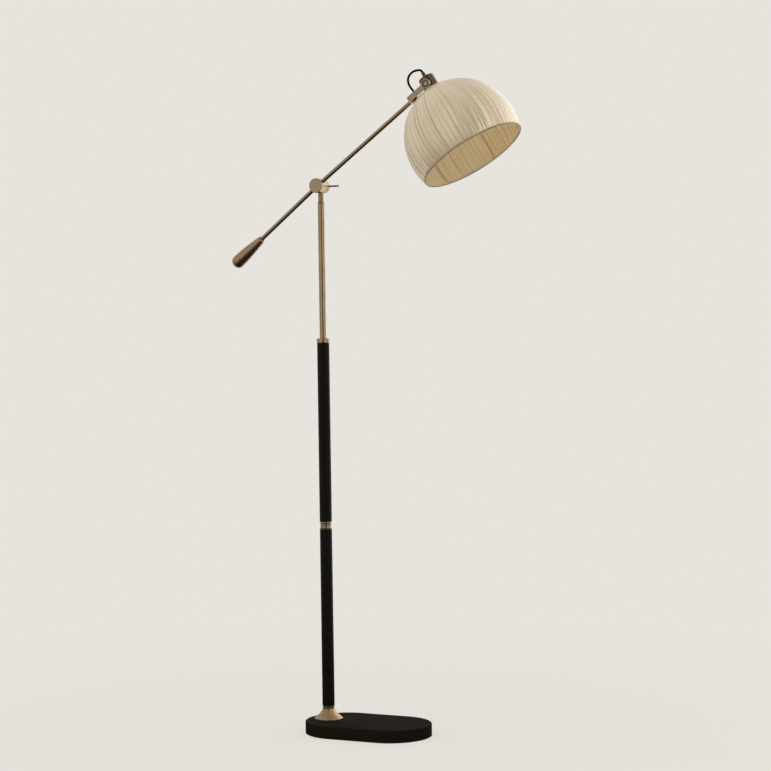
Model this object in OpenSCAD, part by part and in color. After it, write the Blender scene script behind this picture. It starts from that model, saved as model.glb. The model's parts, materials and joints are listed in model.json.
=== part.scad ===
// Bridge floor lamp: a weighted base, a two-part pole with a slim upper tube, a
// counterweighted arm on a lever clamp, and a pleated dome shade on a tilting yoke.
// Millimetres, +Z up. The origin is on the floor, on the pole's axis, and +X is the
// side that the shade hangs over. Arm, counterweight and shade share one upright plane,
// in front of the pole (towards -Y).

/* [Base] */
// Length of the base plate
base_l = 331; // [300:1:360]
// Width of the base plate, and the diameter of its round ends
base_w = 200; // [180:1:220]
// Height of the base, pad included
base_h = 31.6; // [27:0.2:38]
// Distance from the pole's axis to the near end of the base
base_reach = 54; // [48:1:62]
// Radius of the base's top edge
base_edge_r = 3; // [1.5:0.5:5]
// Sheet thickness of the base's cover
base_wall = 2; // [1.5:0.1:2.5]
// Thickness of the pad under the base
pad_t = 3; // [2:0.5:4]
// Height of the cover's lower edge above the floor
skirt_lift = 1.2; // [0.8:0.1:1.8]
// Depth of the nut recess in the underside of the ballast
recess_h = 14; // [12:1:16]
// Diameter of the mains cord that the inlet takes
inlet_d = 6.4; // [5:0.1:7]
// Distance of the cord inlet from the pole's axis, along the base
inlet_x = 64; // [56:1:90]

/* [Pole] */
// Outside diameter of the black pole
pole_d = 31; // [28:0.5:34]
// Wall of the black pole
pole_wall = 1.5; // [1:0.1:2]
// Length of the lower half of the pole
lower_pole_l = 449; // [380:1:500]
// Length of the upper half of the pole
upper_pole_l = 452; // [380:1:500]
// Height of the bell-shaped foot
bell_h = 26.4; // [24:0.2:34]
// Diameter of the foot's rim
bell_d = 72; // [62:1:84]
// Height of the small collar between the foot and the pole
foot_collar_h = 7; // [5:0.5:10]
// Diameter of the small collar between the foot and the pole
foot_collar_d = 29; // [28.6:0.2:31]
// Height of the ring between the two halves of the pole
mid_ring_h = 19; // [16:0.5:24]
// Diameter over the beads of that ring
mid_ring_d = 30; // [28:0.5:34]
// Height of the collar at the top of the pole
top_collar_h = 12; // [8:0.5:16]
// Diameter of the collar at the top of the pole
top_collar_d = 33; // [32:0.5:38]
// Length of the plugs pressed into the ends of the pole
plug_l = 20; // [16:1:26]
// Diameter of the threaded tubes that clamp the pole together
stud_d = 10; // [9:0.5:11]
// Bore of the threaded tubes
stud_bore = 7; // [5.5:0.5:7.5]
// Outside diameter of the slim upper tube
tube_d = 17; // [16:0.5:18]
// Bore of the slim upper tube
tube_bore = 13.6; // [13:0.2:14.4]
// Length of the upper tube that shows
tube_l = 340; // [280:1:400]
// Length of the upper tube that is held inside the pole
tube_hold = 35; // [28:1:45]

/* [Clamp joint] */
// Height of the clamp's axis above the top of the upper tube
neck_h = 44.5; // [42:0.5:54]
// Diameter of the neck below the clamp
neck_d = 14.4; // [13:0.1:14.6]
// Diameter of the clamp's drum
drum_d = 36.5; // [33:0.5:40]
// Diameter of the clamp's hub and nut
hub_d = 33; // [31:0.5:36]
// Thickness of the hub on the neck
hub_t = 15.4; // [15.4:0.2:17]
// Thickness of the drum that carries the arm
drum_t = 21.3; // [20:0.1:26]
// Thickness of the clamp nut
nut_t = 12.4; // [11:0.2:16]
// Thickness of the friction washers
washer_t = 1; // [0.6:0.1:1.5]
// Diameter of the clamp bolt
bolt_d = 10; // [9:0.5:11]
// Bore of the clamp bolt, for the wires
bolt_bore = 5.5; // [4:0.5:6]
// Diameter of the swivel spigot under the neck
spigot_d = 9; // [8.5:0.1:9.5]
// Length of the swivel sleeve inside the upper tube
sleeve_l = 22; // [18:1:28]
// Diameter of the lever bar
lever_d = 4.2; // [3.4:0.1:4.8]
// Reach of the lever's tip from the clamp's axis
lever_reach = 44; // [36:1:50]

/* [Arm] */
// Angle of the arm above the horizontal
arm_rise = 36.4; // [33:0.1:40]
// How much steeper the rod behind the drum is than the arm
tail_bend = 2; // [0:0.1:3]
// Length of the arm from the clamp's axis to the head's pivot
arm_l = 390; // [360:1:420]
// Outside diameter of the arm, and of the rod behind the drum
arm_d = 11; // [10.5:0.1:12]
// Bore of the arm
arm_bore = 7.4; // [7:0.1:7.6]
// Distance from the clamp's axis to the counterweight
tail_l = 207; // [180:1:230]
// Length of the counterweight
weight_l = 104; // [90:1:120]
// Diameter of the counterweight's small end
weight_small_d = 18; // [17:0.5:25]
// Diameter of the counterweight's large end
weight_big_d = 33; // [30:0.5:38]
// Length of the rod inside the counterweight
weight_hold = 60; // [50:1:75]

/* [Yoke] */
// Distance from the head's pivot to the back of the yoke
yoke_l = 63; // [60:1:70]
// Width of the yoke's strip
yoke_w = 14; // [12:0.5:15]
// Thickness of the yoke's strip
yoke_t = 3; // [2.5:0.1:3.5]
// Outside radius of the yoke's bends
yoke_bend_r = 7; // [5:0.5:9]
// Diameter of the pivot screws
pivot_d = 5; // [4:0.5:6]
// Diameter of the pivot knobs
knob_d = 24; // [20:0.5:24]
// Thickness of the pivot knobs
knob_t = 5; // [4:0.5:7]

/* [Lampholder] */
// Angle of the shade's axis below the horizontal
shade_drop = 58; // [56:0.5:61]
// Outside diameter of the holder's cup
cup_d = 40; // [38:0.5:42]
// Depth of the cup behind the pivot
cup_back = 22; // [20:0.5:26]
// Depth of the cup in front of the pivot
cup_front = 16.5; // [16:0.5:18]
// Wall of the cup
cup_wall = 1.5; // [1.2:0.1:1.8]
// Length of the cord bush on the cup
bush_l = 16; // [12:1:18]
// Diameter of the lead to the lampholder
lead_d = 5.6; // [5:0.1:5.8]
// Diameter of the socket's brass shell, inside
socket_d = 26.6; // [26.4:0.1:26.8]
// Length of the socket's brass shell
socket_l = 24; // [20:0.5:26]
// Diameter of the lampholder's skirt
skirt_d = 36.6; // [34:0.1:38]
// Length of the lampholder's skirt below the shade's crown
skirt_l = 35; // [34:1:44]

/* [Shade] */
// Largest diameter of the shade
shade_d = 283; // [250:1:310]
// Depth of the shade from crown to mouth
shade_h = 191.5; // [180:0.5:205]
// Distance from the crown down to the largest diameter
belly_at = 143.5; // [130:0.5:160]
// Diameter of the shade's flat crown
crown_d = 79; // [70:1:86]
// Number of pleats
pleats = 72; // [48:4:96]
// Depth of a pleat at the largest diameter
pleat_depth = 2.4; // [2:0.2:4]
// Thickness of the shade's cover
cover_t = 1.2; // [0.8:0.1:1.6]
// Diameter of the ribs of the shade's frame
rib_d = 2.4; // [2:0.1:3.2]
// Number of ribs
ribs = 6; // [4:1:10]
// Height of the trim round the shade's mouth
hem_h = 3; // [2:0.5:5]

/* [Hidden] */
$fn = 96;

// Clearances
fit = 0.05;          // a fixed piece in its seat, and a running shaft in its bore, on the radius
face_gap = 0.05;     // flat faces that turn on each other
cover_gap = 0.2;     // ballast and pad inside the cover
cord_gap = 0.15;     // the lead in its bushes, on the radius
cut = 1;             // how far a cutting tool runs past a face
chamfer = 0.8;       // broken edges of the turned pieces

// Base
base_r = base_w / 2;
near_x = base_r - base_reach;                  // centre of the round end near the pole
far_x = base_l - base_reach - base_r;          // centre of the other round end
inner_r = base_r - base_wall;
recess_d = 30;
washer_d = 26;
washer_h = 2;
nut_af = 17;                                   // hexagon nut, across its flats
nut_h = 8;
recess_z = pad_t + recess_h;                   // ceiling of the nut recess
channel_w = 9;
inlet_neck_d = inlet_d + 3.6;
inlet_reach = 8;                               // the inlet's neck inside the base
inlet_pocket = 14;                             // room for it in the ballast
inlet_flange_t = 2.5;
inlet_flange_d = inlet_neck_d + 4;
inlet_z = inlet_flange_d / 2 + 2.5;

// Heights on the pole's axis
foot_collar_z = base_h + bell_h;
lower_z = foot_collar_z + foot_collar_h;
ring_z = lower_z + lower_pole_l;
upper_z = ring_z + mid_ring_h;
top_z = upper_z + upper_pole_l;
tube_z = top_z + top_collar_h;
neck_z = tube_z + tube_l;                      // top of the upper tube
joint_z = neck_z + neck_h;                     // the clamp's axis

pole_bore = pole_d - 2 * pole_wall;
bell_boss_r = stud_d / 2 + 4;
bell_top_r = foot_collar_d / 2 + 0.4;
bell_flare = 1.5;                              // 1 makes a cone, more makes a sharper flare
bell_wall = 2;
stud_end = plug_l - 3;                         // how far a stud goes into a plug
bush_foot = 10;                                // ledge under the upper tube, inside the pole

// Swivel and clamp, along Y from the pole's axis
flange_t = 2;
clip_t = 1.2;
clip_gap = 0.3;
spigot_end = neck_z - sleeve_l - clip_t - 2 * clip_gap - 2;
clip_z = neck_z - sleeve_l - clip_gap - clip_t;
groove_depth = 0.5;
washer_y = hub_t / 2;
drum_y = washer_y + washer_t + face_gap;       // the face of the drum, and of the nut
arm_shift = 1.4;                               // the arm passes this much behind the drum's middle
arm_y = drum_y + (drum_t - arm_d) / 2 - arm_shift;            // nearer side of the arm, from the pole's axis
arm_offset = arm_y + arm_d / 2;                // the plane of the arm, in front of the pole
lever_y = drum_y + nut_t / 2;
lever_seat = bolt_d / 2 + 2.2;
tip_l = 6.5;
tip_d = lever_d + 1;
nut_cap = 1.5;

// Arm and yoke, along the arm
yoke_in = cup_d + 3 + 2 * face_gap;            // between the ears
ear_y = yoke_in / 2;
eye_r = yoke_w / 2 + 2;
spigot_arm_d = arm_d - 1.6;                    // turned-down end that passes the yoke
arm_root = 6;                                  // how far the arm goes past the clamp's axis
rod_root = 8;                                  // where the rod's end is, behind the clamp's axis
yoke_nut_h = 4;
arm_end = yoke_l - yoke_t - yoke_nut_h - 1;    // from the head's pivot back to the arm's end
grommet_h = 1.2;
grommet_l = 6;
weight_dome = 15;
screw_d = 4;
screw_at = 9;
pivot = [arm_l * cos(arm_rise), -arm_offset, joint_z + arm_l * sin(arm_rise)];
shade_dir = [cos(shade_drop), 0, -sin(shade_drop)];
arm_dir = [cos(arm_rise), 0, sin(arm_rise)];

// Lampholder, along the shade's axis from the pivot
bush_d = 9.8;
bush_foot_d = 12.2;
bush_foot_h = 1.5;
bush_screw_d = 8.2;
cap_d = 30;
cap_wall = 2.2;
cap_back = 14;                                 // back of the lampholder's cap, behind the pivot
cap_front = cup_front - 0.5;
seat_d = cup_d - 0.6;                          // flange that closes the cup
seat_t = 1.5;
crown_z = cup_front + seat_t;
socket_wall = 0.8;
socket_lift = 2;                               // shell's end inside the skirt's mouth
skirt_end = crown_z + skirt_l;
socket_z = skirt_end - socket_lift - socket_l;
floor_z = socket_z - 5;                        // floor of the socket
nut_in = cap_d / 2 + 0.6;
spacer_d = 12;

// Shade, along its axis from the crown
belly_r = shade_d / 2;
crown_r = crown_d / 2;
dome_half = belly_at / sqrt(1 - pow(crown_r / belly_r, 2));   // half-height of the dome's ellipse
turn_top = acos(belly_at / dome_half);
turn_end = acos((belly_at - shade_h) / dome_half);
dome_rings = 8;
crown_t = 1.2;
ring_t = 6;
ring_wall = 8.5;
hem_t = 0.7;
vent_count = 8;
hem_lift = pleat_depth / 2 * sin(turn_end) + fit;             // clear of the pleats' ridges
hem_turn = acos((belly_at - shade_h + hem_h) / dome_half);
hem_seat = dome_at(turn_end, hem_lift)[1] + fit;              // what the cover and the frame stand on
plate_r = dome_at(turn_top, -(pleat_depth / 2 * sin(turn_top) + cover_t))[0] - fit;
top_ring = on_line(frame_at(turn_top), frame_at(ring_turn(1)), plate_r + rib_d / 2 + fit);
foot_ring = [frame_at(turn_end)[0], hem_seat - rib_d / 2 - fit];

// The lead's route from the bush to the arm, as [x, z] from the head's pivot
lead_loop = [
    [-23.0, 36.0], [-26.0, 37.7], [-29.4, 38.3], [-33.8, 38.3], [-38.7, 37.7], [-43.7, 36.3],
    [-48.4, 34.0], [-52.6, 30.8], [-56.0, 26.8], [-58.3, 22.2], [-59.5, 17.1], [-59.2, 11.8],
    [-57.7, 6.6], [-55.3, 1.5], [-52.2, -3.3], [-48.7, -7.8], [-45.1, -12.2], [-41.6, -16.3],
    [-39.3, -20.0], [-38.3, -23.9], [-39.0, -28.0]
];
lead_sides = 8;

// ---- Shapes that repeat ----

// A slab with round ends, its top edge rounded by r, between the heights z0 and z1
module slab(r_end, z0, z1, r = 0) {
    side = concat(
        [[0, z0], [r_end, z0], [r_end, z1 - r]],
        r > 0 ? [for (a = [15 : 15 : 75]) [r_end - r + r * cos(a), z1 - r + r * sin(a)]] : [],
        r > 0 ? [[r_end - r, z1]] : [],
        [[0, z1]]
    );
    for (x = [near_x, far_x]) translate([x, 0, 0]) rotate_extrude($fn = 160) polygon(side);
    translate([near_x, 0, 0]) rotate([90, 0, 90]) linear_extrude(far_x - near_x) {
        polygon(side);
        mirror([1, 0]) polygon(side);
    }
}

// A tube on the Z axis
module tube(d_out, d_in, z0, z1) {
    translate([0, 0, z0]) difference() {
        cylinder(d = d_out, h = z1 - z0);
        translate([0, 0, -cut]) cylinder(d = d_in, h = z1 - z0 + 2 * cut);
    }
}

// A turned disc with broken edges on the Z axis
module disc(d, z0, z1, edge = chamfer) {
    rotate_extrude() polygon([
        [0, z0], [d / 2 - edge, z0], [d / 2, z0 + edge], [d / 2, z1 - edge], [d / 2 - edge, z1], [0, z1]
    ]);
}

// A hexagon nut on the Z axis
module hex_nut(af, h, bore) {
    difference() {
        cylinder(d = af / cos(30), h = h, $fn = 6);
        translate([0, 0, -cut]) cylinder(d = bore, h = h + 2 * cut);
    }
}

// What lies along the -Y direction from the clamp's axis
module clamp_axis() {
    translate([0, 0, joint_z]) rotate([90, 0, 0]) children();
}

// The arm's frame: +X runs along the arm to the head, from the clamp's axis
module arm_frame() {
    translate([0, -arm_offset, joint_z]) rotate([0, -arm_rise, 0]) children();
}

// The frame of the rod behind the drum: -X runs along it to the counterweight
module tail_frame() {
    arm_frame() rotate([0, -tail_bend, 0]) children();
}

// The arm's frame, moved to the head's pivot
module yoke_frame() {
    arm_frame() translate([arm_l, 0, 0]) children();
}

// The head's frame: +Z runs from the pivot down the shade's axis, and Y is the pivot's axis
module head_frame() {
    translate(pivot) rotate([0, 90 + shade_drop, 0]) children();
}

// A round bar along a plane path; side is the unit normal of the path's plane
function unit(v) = v / norm(v);
function path_dir(p, i) = unit(p[min(i + 1, len(p) - 1)] - p[max(i - 1, 0)]);
module swept_bar(path, d, sides, side) {
    last = len(path) - 1;
    points = [
        for (i = [0 : last])
            let (across = cross(side, path_dir(path, i)))
                for (j = [0 : sides - 1])
                    path[i] + d / 2 * (cos(360 * j / sides) * across + sin(360 * j / sides) * side)
    ];
    walls = [
        for (i = [0 : last - 1], j = [0 : sides - 1])
            let (k = (j + 1) % sides, a = i * sides, b = a + sides)
                each [[a + j, b + j, a + k], [b + j, b + k, a + k]]
    ];
    ends = concat(
        [for (j = [1 : sides - 2]) [0, j, j + 1]],
        [for (j = [1 : sides - 2]) [last * sides, last * sides + j + 1, last * sides + j]]
    );
    polyhedron(points, concat(walls, ends));
}

// ---- Base ----

module base_pad() {
    color([0.12, 0.12, 0.12]) slab(inner_r - cover_gap, 0, pad_t);
}

module base_ballast() {
    color([0.3, 0.3, 0.31]) difference() {
        slab(inner_r - cover_gap, pad_t, base_h - base_wall);
        cylinder(d = stud_d + 2, h = base_h);
        translate([0, 0, pad_t - cut]) cylinder(d = recess_d, h = recess_h + cut);
        translate([0, 0, pad_t - cut])
            rotate([0, 0, atan2(base_r - inlet_reach, inlet_x)])
                translate([0, -channel_w / 2, 0])
                    cube([norm([inlet_x, base_r - inlet_reach]), channel_w, inlet_z + channel_w / 2 - pad_t + cut]);
        translate([inlet_x, base_r - inlet_pocket, inlet_z]) rotate([-90, 0, 0])
            cylinder(d = inlet_neck_d + 2, h = inlet_pocket);
    }
}

module base_cover() {
    color([0.06, 0.055, 0.05]) difference() {
        slab(base_r, skirt_lift, base_h, base_edge_r);
        slab(inner_r, skirt_lift - cut, base_h - base_wall);
        cylinder(d = stud_d + 2 * fit, h = base_h + cut);
        translate([inlet_x, base_r - inlet_pocket, inlet_z]) rotate([-90, 0, 0])
            cylinder(d = inlet_neck_d + 2 * fit, h = inlet_pocket + cut);
    }
}

// The inlet's bore is open for a cord
module cord_inlet() {
    color([0.05, 0.05, 0.05]) translate([inlet_x, base_r, inlet_z]) rotate([-90, 0, 0]) difference() {
        union() {
            translate([0, 0, -inlet_reach]) cylinder(d = inlet_neck_d, h = inlet_reach + 1);
            disc(inlet_flange_d, 0, inlet_flange_t, 0.6);
        }
        translate([0, 0, -inlet_reach - cut]) cylinder(d = inlet_d, h = inlet_reach + inlet_flange_t + 2 * cut);
    }
}

module foot_stud() {
    color([0.7, 0.7, 0.68]) tube(stud_d, stud_bore, pad_t + 2, lower_z + stud_end);
}

module foot_washer() {
    color([0.7, 0.7, 0.68]) tube(washer_d, stud_d + 2 * fit, recess_z - washer_h, recess_z);
}

module foot_nut() {
    color([0.7, 0.7, 0.68]) translate([0, 0, recess_z - washer_h - nut_h]) hex_nut(nut_af, nut_h, stud_d + 2 * fit);
}

// ---- Pole ----

// Outline of the flaring foot, from its top to its rim; inset moves it inwards
function bell_line(inset, from) = [
    for (i = [from : 14])
        let (t = i / 14)
            [bell_top_r - inset + (bell_d / 2 - bell_top_r) * pow(t, bell_flare),
             foot_collar_z - (bell_h - bell_wall) * t]
];

module bell_foot() {
    color([0.6, 0.47, 0.33]) rotate_extrude() difference() {
        polygon(concat([[stud_d / 2 + fit, foot_collar_z]], bell_line(0, 0),
            [[bell_d / 2, base_h], [stud_d / 2 + fit, base_h]]));
        polygon(concat([[bell_boss_r, foot_collar_z - 0.35 * bell_h]], bell_line(bell_wall, 5),
            [[bell_d / 2 - bell_wall, base_h - cut], [bell_boss_r, base_h - cut]]));
    }
}

module foot_collar() {
    color([0.66, 0.53, 0.38]) difference() {
        disc(foot_collar_d, foot_collar_z, lower_z, 0.3);
        translate([0, 0, foot_collar_z - cut]) cylinder(d = stud_d + 2 * fit, h = foot_collar_h + 2 * cut);
    }
}

module lower_pole() {
    color([0.05, 0.05, 0.05]) tube(pole_d, pole_bore, lower_z, ring_z);
}

module upper_pole() {
    color([0.05, 0.05, 0.05]) tube(pole_d, pole_bore, upper_z, top_z);
}

module pole_plugs() {
    color([0.7, 0.7, 0.68])
        for (z = [lower_z, ring_z - plug_l, upper_z]) tube(pole_bore - 2 * fit, stud_d + 2 * fit, z, z + plug_l);
}

// Two low round beads with a waist between them; a low lip at each end meets the pole
module mid_ring() {
    bead_r = mid_ring_h / 6;
    lip_h = 0.8;
    waist_depth = 0.8;
    color([0.66, 0.53, 0.38]) rotate_extrude() difference() {
        union() {
            translate([0, ring_z + bead_r]) square([mid_ring_d / 2 - waist_depth, mid_ring_h - 2 * bead_r]);
            translate([0, ring_z]) square([mid_ring_d / 2 - bead_r, mid_ring_h]);
            for (z = [ring_z, upper_z - lip_h]) translate([0, z]) square([pole_d / 2 - 1, lip_h]);
            for (z = [ring_z + bead_r, upper_z - bead_r]) translate([mid_ring_d / 2 - bead_r, z]) circle(r = bead_r, $fn = 48);
        }
        translate([-cut, ring_z - cut]) square([stud_d / 2 + fit + cut, mid_ring_h + 2 * cut]);
    }
}

module mid_stud() {
    color([0.7, 0.7, 0.68]) tube(stud_d, stud_bore, ring_z - stud_end, upper_z + stud_end);
}

// Holds the slim tube in the pole; the tube stands on its ledge
module tube_bush() {
    color([0.7, 0.7, 0.68]) difference() {
        tube(pole_bore - 2 * fit, stud_d, top_z - tube_hold - bush_foot, top_z);
        translate([0, 0, top_z - tube_hold]) cylinder(d = tube_d + 2 * fit, h = tube_hold + cut);
    }
}

module top_collar() {
    color([0.66, 0.53, 0.38]) difference() {
        disc(top_collar_d, top_z, tube_z, 1.2);
        translate([0, 0, top_z - cut]) cylinder(d = tube_d + 2 * fit, h = top_collar_h + 2 * cut);
    }
}

module upper_tube() {
    color([0.63, 0.5, 0.36]) tube(tube_d, tube_bore, top_z - tube_hold, neck_z);
}

module swivel_sleeve() {
    color([0.7, 0.57, 0.4]) difference() {
        union() {
            translate([0, 0, neck_z - sleeve_l]) cylinder(d = tube_bore - 2 * fit, h = sleeve_l + 1);
            disc(tube_d, neck_z, neck_z + flange_t, 0.5);
        }
        translate([0, 0, neck_z - sleeve_l - cut]) cylinder(d = spigot_d + 2 * fit, h = sleeve_l + flange_t + 2 * cut);
    }
}

// ---- Clamp joint ----

// The neck turns in the sleeve, and its hub carries the clamp
module neck_hub() {
    foot_z = neck_z + flange_t + face_gap;
    color([0.6, 0.47, 0.33]) difference() {
        union() {
            translate([0, 0, spigot_end]) cylinder(d = spigot_d, h = foot_z - spigot_end + 1);
            rotate_extrude() polygon([
                [0, foot_z], [tube_d / 2 - 0.5, foot_z], [tube_d / 2, foot_z + 0.5], [tube_d / 2, foot_z + 1.6],
                [neck_d / 2 + 0.5, foot_z + 3], [neck_d / 2, foot_z + 4.5], [neck_d / 2, joint_z - hub_d / 2 - 2],
                [neck_d / 2 + 0.3, joint_z - hub_d / 2 + 0.6], [neck_d / 2 + 0.3, joint_z - hub_d / 4], [0, joint_z - hub_d / 4]
            ]);
            clamp_axis() disc(hub_d, -hub_t / 2, hub_t / 2, 0.5);
        }
        clamp_axis() translate([0, 0, -hub_t]) cylinder(d = bolt_d + 2 * fit, h = 2 * hub_t);
        translate([0, 0, spigot_end - cut]) cylinder(d = bolt_bore, h = joint_z - spigot_end);
        tube(spigot_d + 2, spigot_d - 2 * groove_depth, clip_z - fit, clip_z + clip_t + fit);
    }
}

// Spring clip in the spigot's groove, open on one side
module swivel_clip() {
    clip_in = spigot_d - 2 * groove_depth + 2 * fit;
    color([0.5, 0.5, 0.5]) difference() {
        tube(spigot_d + 2, clip_in, clip_z, clip_z + clip_t);
        translate([0, -clip_in / 2 + 0.6, clip_z - cut]) cube([spigot_d, clip_in - 1.2, clip_t + 2 * cut]);
    }
}

module friction_washers() {
    color([0.2, 0.16, 0.12]) clamp_axis() {
        tube(hub_d - 2, bolt_d + 2 * fit, washer_y, washer_y + washer_t);
        tube(hub_d - 2, bolt_d + 2 * fit, -washer_y - washer_t, -washer_y);
    }
}

module clamp_nut() {
    color([0.6, 0.47, 0.33]) clamp_axis() difference() {
        disc(hub_d, -drum_y - nut_t, -drum_y, 1);
        translate([0, 0, -drum_y - nut_t + nut_cap]) cylinder(d = bolt_d + 2 * fit, h = nut_t);
        translate([lever_seat - fit, 0, -lever_y]) rotate([0, 90, 0]) cylinder(d = lever_d + 2 * fit, h = hub_d);
    }
}

module clamp_lever() {
    color([0.45, 0.36, 0.26]) translate([lever_seat, lever_y, joint_z]) rotate([0, 90, 0])
        cylinder(d = lever_d, h = lever_reach - 2 - lever_seat, $fn = 48);
}

module lever_tip() {
    color([0.75, 0.66, 0.5]) translate([lever_reach, lever_y, joint_z]) rotate([0, 90, 0]) difference() {
        rotate_extrude($fn = 48) polygon([
            [0, -tip_l], [tip_d / 2 - 0.4, -tip_l], [tip_d / 2, -tip_l + 0.4], [tip_d / 2, -1.2], [tip_d / 2 - 0.7, -0.3],
            [tip_d / 2 - 1.4, 0], [0, 0]
        ]);
        translate([0, 0, -tip_l - cut]) cylinder(d = lever_d + 2 * fit, h = tip_l - 2 + cut + fit, $fn = 48);
    }
}

module arm_drum() {
    color([0.62, 0.49, 0.36]) difference() {
        clamp_axis() disc(drum_d, drum_y, drum_y + drum_t, 0.9);
        clamp_axis() translate([0, 0, drum_y - cut]) cylinder(d = bolt_d + 2 * fit, h = arm_y - drum_y + cut + arm_d / 4);
        arm_frame() rotate([0, 90, 0]) translate([0, 0, -arm_root - fit]) cylinder(d = arm_d + 2 * fit, h = drum_d);
        tail_frame() rotate([0, -90, 0]) translate([0, 0, rod_root - fit]) cylinder(d = arm_d + 2 * fit, h = drum_d);
    }
}

// Hollow, so that the wires can pass from the arm into the neck
module clamp_bolt() {
    bolt_back = drum_y + nut_t - nut_cap - 0.5;
    color([0.7, 0.7, 0.68]) difference() {
        clamp_axis() tube(bolt_d, bolt_bore, -bolt_back, arm_y - 4 * fit);
        translate([0, 0, joint_z - bolt_d]) cylinder(d = bolt_bore - 1, h = bolt_d);
    }
}

// ---- Arm ----

module arm_tube() {
    color([0.62, 0.5, 0.38]) arm_frame() difference() {
        rotate([0, 90, 0]) union() {
            translate([0, 0, -arm_root]) cylinder(d = arm_d, h = arm_root + arm_l - yoke_l);
            translate([0, 0, arm_l - yoke_l - cut]) cylinder(d = spigot_arm_d, h = yoke_l - arm_end + cut);
        }
        rotate([0, 90, 0]) translate([0, 0, -arm_root - cut]) cylinder(d = arm_bore, h = arm_root + arm_l);
        rotate([-90, 0, 0]) cylinder(d = bolt_bore, h = arm_d);
    }
}

module tail_rod() {
    color([0.62, 0.5, 0.38]) tail_frame() rotate([0, -90, 0]) translate([0, 0, rod_root])
        cylinder(d = arm_d, h = tail_l + weight_hold - rod_root);
}

// Half the diameter of the counterweight, x from its small end
function weight_r(x) = weight_small_d / 2 + (weight_big_d - weight_small_d) / 2 * sin(90 * x / (weight_l - weight_dome));

module counterweight() {
    steps = 12;
    straight = weight_l - weight_dome;
    color([0.55, 0.44, 0.32]) tail_frame() translate([-tail_l, 0, 0]) rotate([0, -90, 0]) difference() {
        rotate_extrude() polygon(concat(
            [[0, 0], [weight_small_d / 2 - 1.5, 0]],
            [for (i = [0.25 : 1 : steps]) [weight_r(straight * i / steps), straight * i / steps]],
            [for (a = [0 : 10 : 80]) [weight_big_d / 2 * cos(a), straight + weight_dome * sin(a)]],
            [[0, weight_l]]
        ));
        translate([0, 0, -cut]) cylinder(d = arm_d + 2 * fit, h = weight_hold + 2 * cut);
        translate([0, 0, screw_at]) rotate([0, -90, 0]) cylinder(d = screw_d + 2 * fit, h = weight_big_d, $fn = 48);
    }
}

// Set screw in the underside of the counterweight
module weight_screw() {
    color([0.3, 0.3, 0.3]) tail_frame() translate([-tail_l - screw_at, 0, 0]) rotate([180, 0, 0]) difference() {
        translate([0, 0, arm_d / 2 + fit]) cylinder(d = screw_d, h = weight_r(screw_at) - arm_d / 2 - 0.6, $fn = 48);
        translate([0, 0, weight_r(screw_at) - 2.2]) cylinder(d = screw_d / 2, h = 4, $fn = 6);
    }
}

// ---- Yoke ----

// Outline of the bent strip, seen along its width; grow is outwards from its inner face
module yoke_outline(back, half, r, front) {
    translate([-back + r, -half]) square([back - r + front, 2 * half]);
    translate([-back, -half + r]) square([r + cut, 2 * half - 2 * r]);
    for (s = [-1, 1]) translate([-back + r, s * (half - r)]) circle(r = r, $fn = 48);
}

module yoke() {
    color([0.62, 0.5, 0.37]) yoke_frame() difference() {
        intersection() {
            translate([0, 0, -yoke_w]) linear_extrude(2 * yoke_w) difference() {
                yoke_outline(yoke_l, ear_y + yoke_t, yoke_bend_r, eye_r + cut);
                yoke_outline(yoke_l - yoke_t, ear_y, yoke_bend_r - yoke_t, eye_r + 3 * cut);
            }
            rotate([90, 0, 0]) linear_extrude(4 * ear_y, center = true) {
                translate([-yoke_l - cut, -yoke_w / 2]) square([yoke_l + cut, yoke_w]);
                circle(r = eye_r);
            }
        }
        rotate([90, 0, 0]) translate([0, 0, -2 * ear_y]) cylinder(d = pivot_d + 2 * fit, h = 4 * ear_y);
        translate([-yoke_l - cut, 0, 0]) rotate([0, 90, 0]) cylinder(d = spigot_arm_d + 2 * fit, h = yoke_t + 2 * cut);
    }
}

module yoke_nut() {
    color([0.75, 0.75, 0.73]) yoke_frame() translate([-yoke_l + yoke_t, 0, 0]) rotate([0, 90, 0])
        hex_nut(yoke_w - 2, yoke_nut_h, spigot_arm_d + 2 * fit);
}

module yoke_grommet() {
    color([0.05, 0.05, 0.05]) yoke_frame() translate([-arm_end, 0, 0]) rotate([0, 90, 0]) difference() {
        union() {
            translate([0, 0, -grommet_l]) cylinder(d = arm_bore - 2 * fit, h = grommet_l + 0.5);
            disc(spigot_arm_d, 0, grommet_h, 0.3);
        }
        translate([0, 0, -grommet_l - cut]) cylinder(d = lead_d + 2 * cord_gap, h = grommet_l + grommet_h + 2 * cut);
    }
}

// The lead leaves the bush along the shade's axis and enters the arm along the arm's
module head_lead() {
    route = concat(
        [for (k = [cap_back - 8, cup_back - 4, cup_back + bush_l]) pivot - k * shade_dir],
        [for (p = lead_loop) pivot + [p[0], 0, p[1]]],
        [for (k = [arm_end - 2, arm_end + grommet_l, arm_end + 2 * grommet_l]) pivot - k * arm_dir]
    );
    color([0.04, 0.04, 0.04]) swept_bar(route, lead_d, lead_sides, [0, 1, 0]);
}

// ---- Lampholder ----

module holder_cup() {
    r = cup_d / 2;
    color([0.5, 0.4, 0.29]) head_frame() difference() {
        rotate_extrude() polygon([
            [0, -cup_back], [r - 2, -cup_back], [r - 0.6, -cup_back + 0.6], [r, -cup_back + 2], [r, cup_front],
            [r - cup_wall, cup_front], [r - cup_wall, -cup_back + cup_wall + 1], [r - cup_wall - 1, -cup_back + cup_wall],
            [0, -cup_back + cup_wall]
        ]);
        translate([0, 0, -cup_back - cut]) cylinder(d = bush_screw_d + 2 * fit, h = 3 * cut + cup_wall);
        rotate([90, 0, 0]) translate([0, 0, -cup_d]) cylinder(d = pivot_d + 2 * fit, h = 2 * cup_d);
    }
}

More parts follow.
